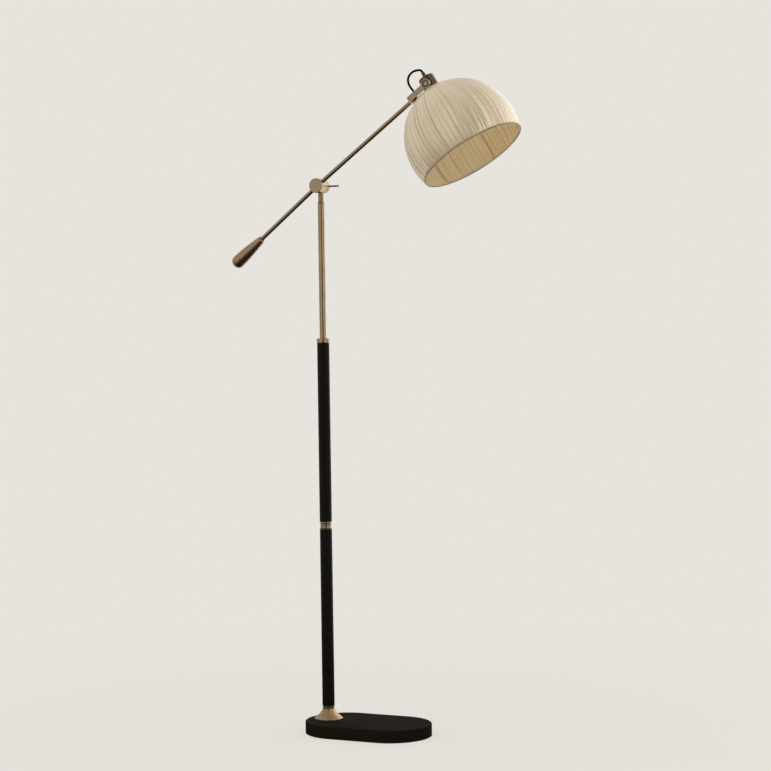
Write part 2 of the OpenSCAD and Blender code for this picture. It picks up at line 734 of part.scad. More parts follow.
// Screws through the cup into the lampholder's cap; the lead runs through it
module cup_bush() {
    back = -cup_back - bush_l;
    color([0.58, 0.46, 0.33]) head_frame() difference() {
        union() {
            translate([0, 0, -cup_back - 1]) cylinder(d = bush_screw_d, h = cup_back - cap_back + cap_wall + 1);
            rotate_extrude() polygon([
                [0, back], [bush_d / 2 - 1.2, back], [bush_d / 2 - 0.5, back + 1], [bush_d / 2, -cup_back - bush_foot_h - 1],
                [bush_foot_d / 2, -cup_back - bush_foot_h], [bush_foot_d / 2, -cup_back], [0, -cup_back]
            ]);
        }
        translate([0, 0, back - cut]) cylinder(d = lead_d + 2 * cord_gap, h = bush_l + cup_back);
    }
}

// Saddle-shaped spacers between the round cup and the flat ears
module pivot_spacers() {
    color([0.3, 0.24, 0.17]) head_frame() difference() {
        for (s = [-1, 1]) rotate([90 * s, 0, 0]) tube(spacer_d, pivot_d + 2 * fit, cup_d / 2 - 2, ear_y - face_gap);
        translate([0, 0, -cup_d]) cylinder(d = cup_d + 2 * fit, h = 2 * cup_d);
    }
}

module pivot_knobs() {
    inner = ear_y + yoke_t + face_gap;
    r = knob_d / 2;
    color([0.64, 0.52, 0.38]) head_frame() for (s = [-1, 1]) rotate([90 * s, 0, 0]) {
        translate([0, 0, nut_in]) cylinder(d = pivot_d, h = inner + 1 - nut_in, $fn = 48);
        rotate_extrude() polygon([
            [0, inner], [r - 0.8, inner], [r, inner + 0.8], [r, inner + knob_t - 1], [r - 1, inner + knob_t],
            [r - 2.2, inner + knob_t], [r - 3, inner + knob_t - 1.6], [r / 2 + 0.8, inner + knob_t - 1.6],
            [r / 2, inner + knob_t - 0.9], [r / 4, inner + knob_t - 0.3], [0, inner + knob_t]
        ]);
    }
}

// Round nuts on the inside of the cup
module pivot_nuts() {
    color([0.7, 0.7, 0.68]) head_frame() intersection() {
        for (s = [-1, 1]) rotate([90 * s, 0, 0]) tube(spacer_d, pivot_d + 2 * fit, nut_in, cup_d / 2);
        translate([0, 0, -spacer_d]) cylinder(d = cup_d - 2 * cup_wall - 2 * fit, h = 2 * spacer_d);
    }
}

module holder_cap() {
    color([0.04, 0.04, 0.04]) head_frame() difference() {
        disc(cap_d, -cap_back, cap_front, 0.8);
        translate([0, 0, -cap_back + cap_wall]) cylinder(d = cap_d - 2 * cap_wall, h = cap_back + cap_front);
        translate([0, 0, -cap_back - cut]) cylinder(d = bush_screw_d + 2 * fit, h = cap_wall + 2 * cut);
    }
}

// Closes the cup and takes the bulb; its flange carries the shade's crown
module holder_skirt() {
    spigot = cap_d - 2 * cap_wall - 2 * fit;
    color([0.04, 0.04, 0.04]) head_frame() difference() {
        union() {
            translate([0, 0, cup_front - 6]) cylinder(d = spigot, h = 7);
            translate([0, 0, cup_front]) cylinder(d = seat_d, h = seat_t);
            disc(skirt_d, cup_front, skirt_end, 0.8);
        }
        translate([0, 0, floor_z]) cylinder(d = socket_d + 2 * socket_wall + 2 * fit, h = skirt_end);
        for (x = [-6, 6]) translate([x, 0, cup_front - 6 - cut]) cylinder(d = 2.4, h = floor_z, $fn = 32);
    }
}

module socket_shell() {
    color([0.8, 0.65, 0.4]) head_frame() tube(socket_d + 2 * socket_wall, socket_d, socket_z, socket_z + socket_l);
}

// Sprung tongue on the socket's floor, with its rivet
module centre_contact() {
    color([0.8, 0.65, 0.4]) head_frame() {
        translate([-9, -2.5, floor_z]) cube([11, 5, 0.6]);
        translate([-1, -2.5, floor_z]) cube([3, 5, 2.2]);
        translate([-9, 0, floor_z]) cylinder(d = 5, h = 1.4, $fn = 32);
    }
}

module shade_ring() {
    r = skirt_d / 2 + fit;
    z = crown_z + crown_t;
    color([0.05, 0.05, 0.05]) head_frame() rotate_extrude() polygon([
        [r, z], [r + ring_wall, z], [r + ring_wall, z + 2], [r + 3, z + 2.6], [r + 3, z + ring_t], [r, z + ring_t]
    ]);
}

// ---- Shade ----

// A point of the dome, turn in degrees from the crown round to the belly and past it,
// moved out along the dome's normal; r from the axis and z from the crown
function dome_at(turn, out) =
    let (n = unit([sin(turn) / belly_r, -cos(turn) / dome_half]))
        [belly_r * sin(turn), belly_at - dome_half * cos(turn)] + out * n;

module shade_frame_place() {
    head_frame() translate([0, 0, crown_z]) children();
}

// The frame's wire runs along the inside of the pleats' valleys
function frame_at(turn) = dome_at(turn, -(pleat_depth / 2 * sin(turn) + cover_t + rib_d / 2 + fit));

// The point where a rib that comes from the point b meets the wire of the ring a
function beside(a, b) = a + (rib_d / 2 + fit) * unit(b - a);

// Where the line from a to b reaches the distance r from the axis
function on_line(a, b, r) = a + (b - a) * (r - a[0]) / (b[0] - a[0]);

// Angle on the dome of one of the rings that the cover is made of
function ring_turn(i) = turn_top + (turn_end - turn_top) * i / dome_rings;

// Pressed plate that the lampholder clamps, with vents; its lip sits in the frame's top ring
module shade_crown() {
    lip = top_ring[1] + rib_d / 2;
    color([0.75, 0.7, 0.6]) shade_frame_place() difference() {
        rotate_extrude() polygon([
            [skirt_d / 2 + 2 * fit, 0], [plate_r - 1, 0], [plate_r, 1], [plate_r, lip], [plate_r - crown_t, lip],
            [plate_r - crown_t, crown_t], [skirt_d / 2 + 2 * fit, crown_t]
        ]);
        for (i = [0 : vent_count - 1]) rotate([0, 0, 360 * (i + 0.5) / vent_count]) translate([0, 0, -cut]) {
            translate([plate_r - 6, -3, 0]) cube([3, 6, 4 * cut]);
            for (y = [-3, 3]) translate([plate_r - 4.5, y, 0]) cylinder(d = 3, h = 4 * cut, $fn = 24);
        }
    }
}

// Wire ribs from a ring round the crown to a ring inside the mouth, each rib in a valley.
// A rib ends against the rings.
module shade_frame() {
    middle = [for (i = [1 : dome_rings - 1]) frame_at(ring_turn(i))];
    line = concat([beside(top_ring, middle[0])], middle, [beside(foot_ring, middle[dome_rings - 2])]);
    color([0.8, 0.78, 0.72]) shade_frame_place() {
        for (p = [top_ring, foot_ring]) rotate_extrude($fn = 120) translate(p) circle(d = rib_d, $fn = 24);
        for (i = [0 : ribs - 1]) rotate([0, 0, 360 * (floor(pleats * (i + 0.5) / ribs) + 0.5) / pleats])
            swept_bar([for (p = line) [p[0], 0, p[1]]], rib_d, 6, [0, 1, 0]);
    }
}

// One closed shell: the outer and inner faces are folded alike, ridge and valley in turn
module shade_cover() {
    around = 2 * pleats;
    function fold(j) = j % 2 == 0 ? 1 : -1;
    function skin(i, j, inwards) =
        let (
            p = dome_at(ring_turn(i), fold(j) * pleat_depth / 2 * sin(ring_turn(i)) - inwards),
            a = 360 * j / around
        ) [p[0] * cos(a), p[0] * sin(a), p[1]];
    points = [
        for (inwards = [0, cover_t], i = [0 : dome_rings], j = [0 : around - 1]) skin(i, j, inwards)
    ];
    layer = (dome_rings + 1) * around;
    outer = [
        for (i = [0 : dome_rings - 1], j = [0 : around - 1])
            let (k = (j + 1) % around, a = i * around, b = a + around)
                each [[a + j, b + j, a + k], [b + j, b + k, a + k]]
    ];
    inner = [for (f = outer) [f[0] + layer, f[2] + layer, f[1] + layer]];
    rims = [
        for (j = [0 : around - 1])
            let (k = (j + 1) % around, m = dome_rings * around)
                each [
                    [j, k, layer + j], [k, layer + k, layer + j],
                    [m + j, layer + m + j, m + k], [m + k, layer + m + j, layer + m + k]
                ]
    ];
    color([0.88, 0.82, 0.7]) shade_frame_place() polyhedron(points, concat(outer, inner, rims));
}

// Bound edge round the mouth: a band over the pleats and a flange under them
module shade_hem() {
    flange_in = foot_ring[0] - rib_d / 2;
    band_foot = dome_at(turn_end, hem_lift)[0];
    color([0.45, 0.4, 0.33]) shade_frame_place() rotate_extrude($fn = 160) polygon([
        dome_at(hem_turn, hem_lift), dome_at(hem_turn, hem_lift + hem_t), [band_foot + hem_t, hem_seat],
        [band_foot + hem_t, hem_seat + hem_t], [flange_in, hem_seat + hem_t], [flange_in, hem_seat], [band_foot, hem_seat]
    ]);
}

base_pad();
base_ballast();
base_cover();
cord_inlet();
foot_stud();
foot_washer();
foot_nut();
bell_foot();
foot_collar();
lower_pole();
pole_plugs();
mid_ring();
mid_stud();
upper_pole();
tube_bush();
top_collar();
upper_tube();
swivel_sleeve();
neck_hub();
swivel_clip();
friction_washers();
clamp_nut();
clamp_lever();
lever_tip();
arm_drum();
clamp_bolt();
arm_tube();
tail_rod();
counterweight();
weight_screw();
yoke();
yoke_nut();
yoke_grommet();
head_lead();
holder_cup();
cup_bush();
pivot_spacers();
pivot_knobs();
pivot_nuts();
holder_cap();
holder_skirt();
socket_shell();
centre_contact();
shade_ring();
shade_crown();
shade_frame();
shade_cover();
shade_hem();
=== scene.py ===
import json
import math
import random

import bmesh
import bpy
from mathutils import Matrix, Vector, noise


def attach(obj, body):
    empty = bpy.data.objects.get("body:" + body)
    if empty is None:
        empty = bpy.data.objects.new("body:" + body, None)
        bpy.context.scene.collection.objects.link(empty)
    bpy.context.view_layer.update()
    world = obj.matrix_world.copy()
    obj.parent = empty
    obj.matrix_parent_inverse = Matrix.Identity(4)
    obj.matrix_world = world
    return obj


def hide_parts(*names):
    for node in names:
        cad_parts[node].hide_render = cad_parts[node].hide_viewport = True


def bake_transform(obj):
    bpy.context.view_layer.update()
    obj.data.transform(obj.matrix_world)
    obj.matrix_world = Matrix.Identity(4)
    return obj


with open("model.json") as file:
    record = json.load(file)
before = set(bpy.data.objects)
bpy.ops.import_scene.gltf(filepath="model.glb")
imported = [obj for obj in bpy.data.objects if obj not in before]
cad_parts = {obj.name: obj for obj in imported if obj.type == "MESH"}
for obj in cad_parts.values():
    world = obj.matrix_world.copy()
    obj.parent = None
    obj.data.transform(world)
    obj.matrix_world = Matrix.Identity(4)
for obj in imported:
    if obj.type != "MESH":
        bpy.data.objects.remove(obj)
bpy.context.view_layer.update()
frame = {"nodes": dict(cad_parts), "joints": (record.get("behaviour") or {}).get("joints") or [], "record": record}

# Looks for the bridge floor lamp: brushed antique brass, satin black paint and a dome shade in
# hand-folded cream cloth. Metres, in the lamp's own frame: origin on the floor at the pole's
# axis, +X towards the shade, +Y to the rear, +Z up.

NODES = frame["nodes"]
JOINTS = {j["name"]: j for j in frame["joints"]}
MOUNTS = {m["name"]: m for m in frame["record"]["mounts"]}
MM = 0.001

# ---- The lamp's own directions and places ----

HEAD_PIVOT = Vector(JOINTS["head_tilt"]["pos_m"])
CLAMP = Vector(JOINTS["arm_tilt"]["pos_m"])
SHADE_DIR = Vector(MOUNTS["bulb_socket"]["axis"]).normalized()
ARM_DIR = (HEAD_PIVOT - CLAMP).normalized()
TAIL_BEND = math.radians(2)          # the rod behind the drum is set this much steeper
TAIL_DIR = Matrix.Rotation(-TAIL_BEND, 3, "Y") @ ARM_DIR
REAR = Vector((0, 1, 0))


def placed(origin, along, side=REAR):
    """The place of a turned piece: its +Z lies along `along`, its +Y along `side`."""
    across = side.cross(along)
    place = Matrix((across, side, along)).transposed().to_4x4()
    place.translation = origin
    return place


POLE_FRAME = placed(Vector((0, 0, 0)), Vector((0, 0, 1)))
HEAD_FRAME = placed(HEAD_PIVOT, SHADE_DIR)
ARM_FRAME = placed(CLAMP, ARM_DIR)
TAIL_FRAME = placed(CLAMP, -TAIL_DIR)
CLAMP_FRAME = placed(Vector((0, 0, CLAMP.z)), REAR, Vector((0, 0, -1)))
PIVOT_FRAME = placed(HEAD_PIVOT, REAR, Vector((0, 0, -1)))

# ---- Sizes that the scene's own pieces share with the solids ----

CUP_FRONT = 16.5 * MM
SEAT_T = 1.5 * MM
CROWN = CUP_FRONT + SEAT_T          # the shade's crown, along the shade's axis from the pivot
BELLY_R = 141.5 * MM
BELLY_AT = 143.5 * MM               # from the crown down to the widest place
SHADE_H = 191.5 * MM
CROWN_R = 39.5 * MM
CLOTH_T = 0.8 * MM
PLEATS = 78
PLEAT_RELIEF = 2.1 * MM
HALF_H = BELLY_AT / math.sqrt(1 - (CROWN_R / BELLY_R) ** 2)
TURN_TOP = math.acos(BELLY_AT / HALF_H)
TURN_END = math.acos((BELLY_AT - SHADE_H) / HALF_H)

SKIRT_R = 18.3 * MM                 # the lampholder's skirt, which the shade ring screws on
SKIRT_END = CROWN + 35 * MM
SHELL_R = 14.1 * MM                 # outside of the shell that takes the bulb
SHELL_TOP = SKIRT_END - 26 * MM
SHELL_L = 24 * MM
TAIL_R = 5.5 * MM

# ---- Meshes ----


def new_object(name, mesh_builder, place=None):
    """An object from a bmesh, moved into the lamp's frame and smooth-shaded."""
    mesh = bpy.data.meshes.new(name)
    mesh_builder.normal_update()
    mesh_builder.to_mesh(mesh)
    mesh_builder.free()
    if place is not None:
        mesh.transform(place)
    mesh.polygons.foreach_set("use_smooth", [True] * len(mesh.polygons))
    obj = bpy.data.objects.new(name, mesh)
    bpy.context.scene.collection.objects.link(obj)
    return obj


def sharp_edges(obj, degrees=35):
    """Keeps edges crisp where two faces meet at more than this angle."""
    mesh = bmesh.new()
    mesh.from_mesh(obj.data)
    for edge in mesh.edges:
        if len(edge.link_faces) == 2 and edge.calc_face_angle() > math.radians(degrees):
            edge.smooth = False
    mesh.to_mesh(obj.data)
    mesh.free()
    return obj


def ring_strip(mesh, rings, closed_along=False):
    """Joins equal rings of vertices with quads."""
    pairs = list(zip(rings, rings[1:]))
    if closed_along:
        pairs.append((rings[-1], rings[0]))
    for a, b in pairs:
        count = len(a)
        for i in range(count):
            k = (i + 1) % count
            mesh.faces.new((a[i], a[k], b[k], b[i]))


def turned(name, outline, place, steps=96, closed=False):
    """A turned piece from (radius, height) points; a closed outline makes a ring."""
    mesh = bmesh.new()
    rings = []
    for radius, height in outline:
        turns = [math.tau * i / steps for i in range(steps)]
        rings.append([mesh.verts.new((radius * math.cos(a), radius * math.sin(a), height)) for a in turns])
    ring_strip(mesh, rings, closed)
    if not closed:
        for ring in (rings[0], rings[-1]):
            mesh.faces.new(ring)
    bmesh.ops.remove_doubles(mesh, verts=mesh.verts, dist=1e-7)
    bmesh.ops.recalc_face_normals(mesh, faces=mesh.faces)
    return sharp_edges(new_object(name, mesh, place))


def smooth_route(points, steps):
    """A Catmull-Rom curve through the points, with so many steps from one to the next."""
    route = []
    last = len(points) - 1
    for i in range(last):
        a, b, c, d = (points[max(0, min(last, k))] for k in (i - 1, i, i + 1, i + 2))
        for j in range(steps):
            t = j / steps
            route.append(0.5 * (2 * b + (c - a) * t + (2 * a - 5 * b + 4 * c - d) * t ** 2
                                + (3 * b - a - 3 * c + d) * t ** 3))
    route.append(points[-1])
    return route


BAR_SIDES = 16


def bar_rings(route, radius):
    """The points of a round bar, ring by ring, along a route in an upright plane square to REAR."""
    turns = [math.tau * j / BAR_SIDES for j in range(BAR_SIDES)]
    rings = []
    for i, here in enumerate(route):
        ahead = (route[min(i + 1, len(route) - 1)] - route[max(i - 1, 0)]).normalized()
        across = REAR.cross(ahead)
        rings.append([here + radius * (math.cos(a) * across + math.sin(a) * REAR) for a in turns])
    return rings


def tube_along(name, route, radius):
    """A closed round bar along a route."""
    mesh = bmesh.new()
    rings = [[mesh.verts.new(spot) for spot in ring] for ring in bar_rings(route, radius)]
    ring_strip(mesh, rings)
    mesh.faces.new(reversed(rings[0]))
    mesh.faces.new(rings[-1])
    bmesh.ops.recalc_face_normals(mesh, faces=mesh.faces)
    return new_object(name, mesh)


# ---- Effects that several materials share ----


def shader_group(name, inputs, outputs):
    """A node group with named sockets; inputs are (socket type, name, default)."""
    group = bpy.data.node_groups.new(name, "ShaderNodeTree")
    for kind, label, default in inputs:
        socket = group.interface.new_socket(label, in_out="INPUT", socket_type=kind)
        if default is not None:
            socket.default_value = default
    for kind, label in outputs:
        group.interface.new_socket(label, in_out="OUTPUT", socket_type=kind)
    return group, Nodes(group)


class Nodes:
    """Short calls for adding and linking nodes in one tree."""

    def __init__(self, tree):
        self.tree = tree

    def given(self):
        """The sockets that a group takes in."""
        return self.tree.nodes.new("NodeGroupInput").outputs

    def add(self, kind, sockets=(), **settings):
        """A new node, with values or links for its sockets and settings of its own."""
        node = self.tree.nodes.new(kind)
        for key, value in settings.items():
            setattr(node, key, value)
        for key, value in dict(sockets).items():
            self.put(node.inputs[key], value)
        return node

    def put(self, socket, value):
        """Links a socket to another one, or sets its value."""
        if isinstance(value, bpy.types.NodeSocket):
            self.tree.links.new(value, socket)
        else:
            socket.default_value = value

    def math(self, operation, *values):
        return self.add("ShaderNodeMath", enumerate(values), operation=operation).outputs[0]

    def vector(self, operation, *values):
        return self.add("ShaderNodeVectorMath", enumerate(values), operation=operation).outputs[0]

    def length(self, vector):
        return self.add("ShaderNodeVectorMath", {0: vector}, operation="LENGTH").outputs["Value"]

    def facing(self, a, b):
        """How far two unit vectors point the same way, from -1 to 1."""
        return self.add("ShaderNodeVectorMath", {0: a, 1: b}, operation="DOT_PRODUCT").outputs["Value"]

    def scaled(self, value, low, high, to_low, to_high):
        """Takes low to to_low and high to to_high, and holds what lies beyond them."""
        sockets = {"Value": value, "From Min": low, "From Max": high, "To Min": to_low, "To Max": to_high}
        return self.add("ShaderNodeMapRange", sockets).outputs[0]

    def mixed(self, share, a, b):
        """Goes from colour a to colour b as share goes from 0 to 1."""
        node = self.add("ShaderNodeMix", data_type="RGBA")
        self.put(node.inputs[0], share)
        self.put(node.inputs[6], a)
        self.put(node.inputs[7], b)
        return node.outputs[2]

    def noise(self, vector, scale, detail=3.0, roughness=0.5):
        sockets = {"Vector": vector, "Scale": scale, "Detail": detail, "Roughness": roughness}
        return self.add("ShaderNodeTexNoise", sockets).outputs["Fac"]

    def finish(self, **outputs):
        """Gives a group's outputs their values."""
        end = self.tree.nodes.new("NodeGroupOutput")
        for label, value in outputs.items():
            self.put(end.inputs[label], value)


def make_grain():
    """Fine polishing lines, round a turned piece or along a drawn one, and an aged tone that drifts
    over it. Vector is in the piece's own frame, with its axis along Z."""
    group, n = shader_group(
        "brushed_grain",
        [("NodeSocketVector", "Vector", None), ("NodeSocketFloat", "Lines", 1500.0),
         ("NodeSocketFloat", "Turned", 1.0)],
        [("NodeSocketFloat", "Grain"), ("NodeSocketFloat", "Tone")])
    given = n.given()
    here = given["Vector"]
    xyz = n.add("ShaderNodeSeparateXYZ", {0: here}).outputs
    flat = n.add("ShaderNodeCombineXYZ", {0: xyz[0], 1: xyz[1]}).outputs[0]
    round_it = n.vector("NORMALIZE", flat)
    reach = n.length(flat)
    lines = given["Lines"]
    step = n.math("MULTIPLY", n.math("ADD", xyz[2], reach), lines)
    lathe = n.vector("ADD", n.vector("MULTIPLY", round_it, (1.2, 1.2, 0.0)),
                     n.add("ShaderNodeCombineXYZ", {2: step}).outputs[0])
    stretch = n.add("ShaderNodeCombineXYZ", {0: lines, 1: lines, 2: n.math("MULTIPLY", lines, 0.02)})
    drawn = n.vector("MULTIPLY", here, stretch.outputs[0])
    mix = n.add("ShaderNodeMix", data_type="VECTOR")
    n.put(mix.inputs[0], given["Turned"])
    n.put(mix.inputs[4], drawn)
    n.put(mix.inputs[5], lathe)
    grain = n.noise(mix.outputs[1], 1.0, 4.0, 0.65)
    tone = n.noise(here, 22.0, 2.0)
    n.finish(Grain=grain, Tone=tone)
    return group


def make_marks():
    """Faint handling marks: soft patches with a few finer smears in them."""
    group, n = shader_group(
        "handling_marks",
        [("NodeSocketVector", "Vector", None), ("NodeSocketFloat", "Scale", 30.0)],
        [("NodeSocketFloat", "Mask")])
    given = n.given()
    here, scale = given["Vector"], given["Scale"]
    patch = n.scaled(n.noise(here, scale, 3.0), 0.42, 0.68, 0.0, 1.0)
    smear = n.noise(here, n.math("MULTIPLY", scale, 9.0), 5.0, 0.7)
    n.finish(Mask=n.math("MULTIPLY", patch, smear))
    return group


def make_edges():
    """Where a piece has an outside edge, and the normal with that edge rounded off."""
    group, n = shader_group(
        "soft_edges",
        [("NodeSocketFloat", "Radius", 0.0004)],
        [("NodeSocketFloat", "Mask"), ("NodeSocketVector", "Normal")])
    bevel = n.add("ShaderNodeBevel", {"Radius": n.given()["Radius"]}, samples=6)
    true = n.add("ShaderNodeNewGeometry").outputs["Normal"]
    mask = n.scaled(n.facing(bevel.outputs[0], true), 0.99, 0.86, 0.0, 1.0)
    n.finish(Mask=mask, Normal=bevel.outputs[0])
    return group


def make_weave():
    """Plain weave in a fine cloth, and its thicker threads. Vector holds metres across and along."""
    group, n = shader_group(
        "plain_weave",
        [("NodeSocketVector", "Vector", None), ("NodeSocketFloat", "Threads", 1700.0)],
        [("NodeSocketFloat", "Height"), ("NodeSocketFloat", "Slub")])
    given = n.given()
    here, threads = given["Vector"], given["Threads"]
    xyz = n.add("ShaderNodeSeparateXYZ", {0: here}).outputs
    warp = n.math("SINE", n.math("MULTIPLY", xyz[0], n.math("MULTIPLY", threads, math.pi)))
    weft = n.math("SINE", n.math("MULTIPLY", xyz[1], n.math("MULTIPLY", threads, math.pi)))
    height = n.math("ABSOLUTE", n.math("MULTIPLY", warp, weft))
    slub = n.noise(n.vector("MULTIPLY", here, (240.0, 26.0, 1.0)), 1.0, 4.0, 0.6)
    n.finish(Height=height, Slub=slub)
    return group


GRAIN = make_grain()
MARKS = make_marks()
EDGES = make_edges()
WEAVE = make_weave()

# ---- Materials ----

BRASS_LINES = 1500.0                # polishing lines to a metre
GROOVE_FADE = 0.8 * MM
SKIN_DEPTH = 0.1 * MM               # how deep the fine relief of a finish goes
CREASE_DEPTH = 0.3 * MM


def tinted(colour, *shares):
    """A colour with its red, green and blue taken to shares of what they were."""
    shares = shares * 3 if len(shares) == 1 else shares
    return [c * share for c, share in zip(colour, shares)] + [1.0]


def new_material(name):
    material = bpy.data.materials.new(name)
    material.use_nodes = True
    tree = material.node_tree
    shader = next(x for x in tree.nodes if x.type == "BSDF_PRINCIPLED")
    return material, Nodes(tree), shader


def effect(n, group, **sockets):
    """Places a shared effect in a material."""
    node = n.tree.nodes.new("ShaderNodeGroup")
    node.node_tree = group
    for label, value in sockets.items():
        n.put(node.inputs[label], value)
    return node.outputs


def own_frame(n, place):
    """Coordinates in a piece's own frame, in metres."""
    place_of = n.add("ShaderNodeTexCoord").outputs["Object"]
    turn = place.to_euler()
    sockets = {"Vector": place_of, "Location": place.translation, "Rotation": (turn.x, turn.y, turn.z)}
    return n.add("ShaderNodeMapping", sockets, vector_type="TEXTURE").outputs[0]


def brass(name, place, light, dark, turned_lines=True, rough=0.22, handled=0.45, groove=None):
    """Brushed brass with an aged tone under lacquer, brighter where its edges are handled. It stays
    dark in a groove between two radii."""
    material, n, shader = new_material(name)
    here = own_frame(n, place)
    grain = effect(n, GRAIN, Vector=here, Lines=BRASS_LINES, Turned=1.0 if turned_lines else 0.0)
    marks = effect(n, MARKS, Vector=here, Scale=35.0)
    edges = effect(n, EDGES, Radius=0.5 * MM)
    tone = n.scaled(grain["Tone"], 0.3, 0.7, 0.25, 0.75)
    streak = n.math("ADD", tone, n.scaled(grain["Grain"], 0.3, 0.7, -0.22, 0.22))
    rubbed = [min(1.0, 1.2 * c + 0.08) for c in light[:3]] + [1.0]
    worn = n.mixed(n.math("MULTIPLY", edges["Mask"], handled), n.mixed(streak, dark, light), rubbed)
    smooth = n.scaled(grain["Grain"], 0.3, 0.7, rough - 0.06, rough + 0.08)
    if groove:
        start, end = groove
        reach = n.length(n.vector("MULTIPLY", here, (1.0, 1.0, 0.0)))
        inside = n.math("MULTIPLY", n.scaled(reach, start, start + GROOVE_FADE, 0.0, 0.8),
                        n.scaled(reach, end - GROOVE_FADE, end, 1.0, 0.0))
        worn = n.mixed(inside, worn, tinted(dark, 0.25))
    bump = n.add("ShaderNodeBump", {"Height": grain["Grain"], "Strength": 0.12 if turned_lines else 0.04,
                                    "Distance": SKIN_DEPTH, "Normal": edges["Normal"]})
    n.put(shader.inputs["Base Color"], worn)
    shader.inputs["Metallic"].default_value = 1.0
    n.put(shader.inputs["Roughness"], n.math("ADD", smooth, n.math("MULTIPLY", marks["Mask"], 0.1)))
    n.put(shader.inputs["Normal"], bump.outputs[0])
    return material


def paint(name, colour, rough, gloss, rubbed=0.2):
    """Sprayed satin paint with a fine orange-peel skin, a little lighter on its edges."""
    material, n, shader = new_material(name)
    here = n.add("ShaderNodeTexCoord").outputs["Object"]
    marks = effect(n, MARKS, Vector=here, Scale=14.0)
    edges = effect(n, EDGES, Radius=0.8 * MM)
    peel = n.noise(here, 900.0, 2.0)
    cloud = n.noise(here, 9.0, 3.0)
    lighter = tinted(colour, 1.6)
    tone = n.mixed(n.scaled(cloud, 0.35, 0.7, 0.0, 0.55), colour, lighter)
    n.put(shader.inputs["Base Color"], n.mixed(n.math("MULTIPLY", edges["Mask"], rubbed), tone, lighter))
    n.put(shader.inputs["Roughness"], n.math("ADD", n.math("MULTIPLY", marks["Mask"], 0.16),
                                             n.scaled(cloud, 0.3, 0.7, rough - 0.03, rough + 0.05)))
    bump = n.add("ShaderNodeBump", {"Height": peel, "Strength": 0.08, "Distance": SKIN_DEPTH,
                                    "Normal": edges["Normal"]})
    n.put(shader.inputs["Normal"], bump.outputs[0])
    shader.inputs["Specular IOR Level"].default_value = gloss
    return material


def moulded(name, colour, rough, grain_scale=1400.0, bump_strength=0.15, gloss=0.4):
    """Moulded plastic or rubber with a fine spark-eroded skin."""
    material, n, shader = new_material(name)
    here = n.add("ShaderNodeTexCoord").outputs["Object"]
    skin = n.noise(here, grain_scale, 2.0)
    cloud = n.noise(here, 40.0, 3.0)
    edges = effect(n, EDGES, Radius=0.4 * MM)
    lighter = tinted(colour, 1.5)
    tone = n.mixed(n.scaled(cloud, 0.3, 0.7, 0.0, 0.5), colour, lighter)
    n.put(shader.inputs["Base Color"], n.mixed(n.math("MULTIPLY", edges["Mask"], 0.3), tone, lighter))
    n.put(shader.inputs["Roughness"], n.scaled(skin, 0.3, 0.7, rough - 0.05, rough + 0.08))
    shader.inputs["Specular IOR Level"].default_value = gloss
    bump = n.add("ShaderNodeBump", {"Height": skin, "Strength": bump_strength,
                                    "Distance": SKIN_DEPTH, "Normal": edges["Normal"]})
    n.put(shader.inputs["Normal"], bump.outputs[0])
    return material


def plated(name, colour, rough):
    """Zinc or nickel plate on machined steel."""
    material, n, shader = new_material(name)
    here = n.add("ShaderNodeTexCoord").outputs["Object"]
    bloom = n.noise(here, 120.0, 4.0, 0.7)
    marks = effect(n, MARKS, Vector=here, Scale=80.0)
    dulled = n.scaled(bloom, 0.35, 0.7, 0.0, 1.0)
    n.put(shader.inputs["Base Color"], n.mixed(dulled, colour, tinted(colour, 0.72)))
    shader.inputs["Metallic"].default_value = 1.0
    n.put(shader.inputs["Roughness"], n.math("ADD", n.scaled(bloom, 0.3, 0.7, rough, rough + 0.15),
                                             n.math("MULTIPLY", marks["Mask"], 0.1)))
    return material


RUST = (0.12, 0.06, 0.035, 1.0)


def cast(name, colour):
    """Rough cast iron with a pitted skin."""
    material, n, shader = new_material(name)
    here = n.add("ShaderNodeTexCoord").outputs["Object"]
    pits = n.noise(here, 260.0, 6.0, 0.7)
    rust = n.scaled(n.noise(here, 30.0, 4.0), 0.55, 0.75, 0.0, 0.5)
    n.put(shader.inputs["Base Color"], n.mixed(rust, colour, RUST))
    n.put(shader.inputs["Roughness"], n.scaled(pits, 0.3, 0.7, 0.6, 0.85))
    shader.inputs["Metallic"].default_value = 0.4
    bump = n.add("ShaderNodeBump", {"Height": pits, "Strength": 0.5, "Distance": 0.4 * MM})
    n.put(shader.inputs["Normal"], bump.outputs[0])
    return material


# Painted shade in the folds: what the cloth keeps of its red, green and blue down in a fold
FOLD_SHADE_SHARES = (0.62, 0.54, 0.44)


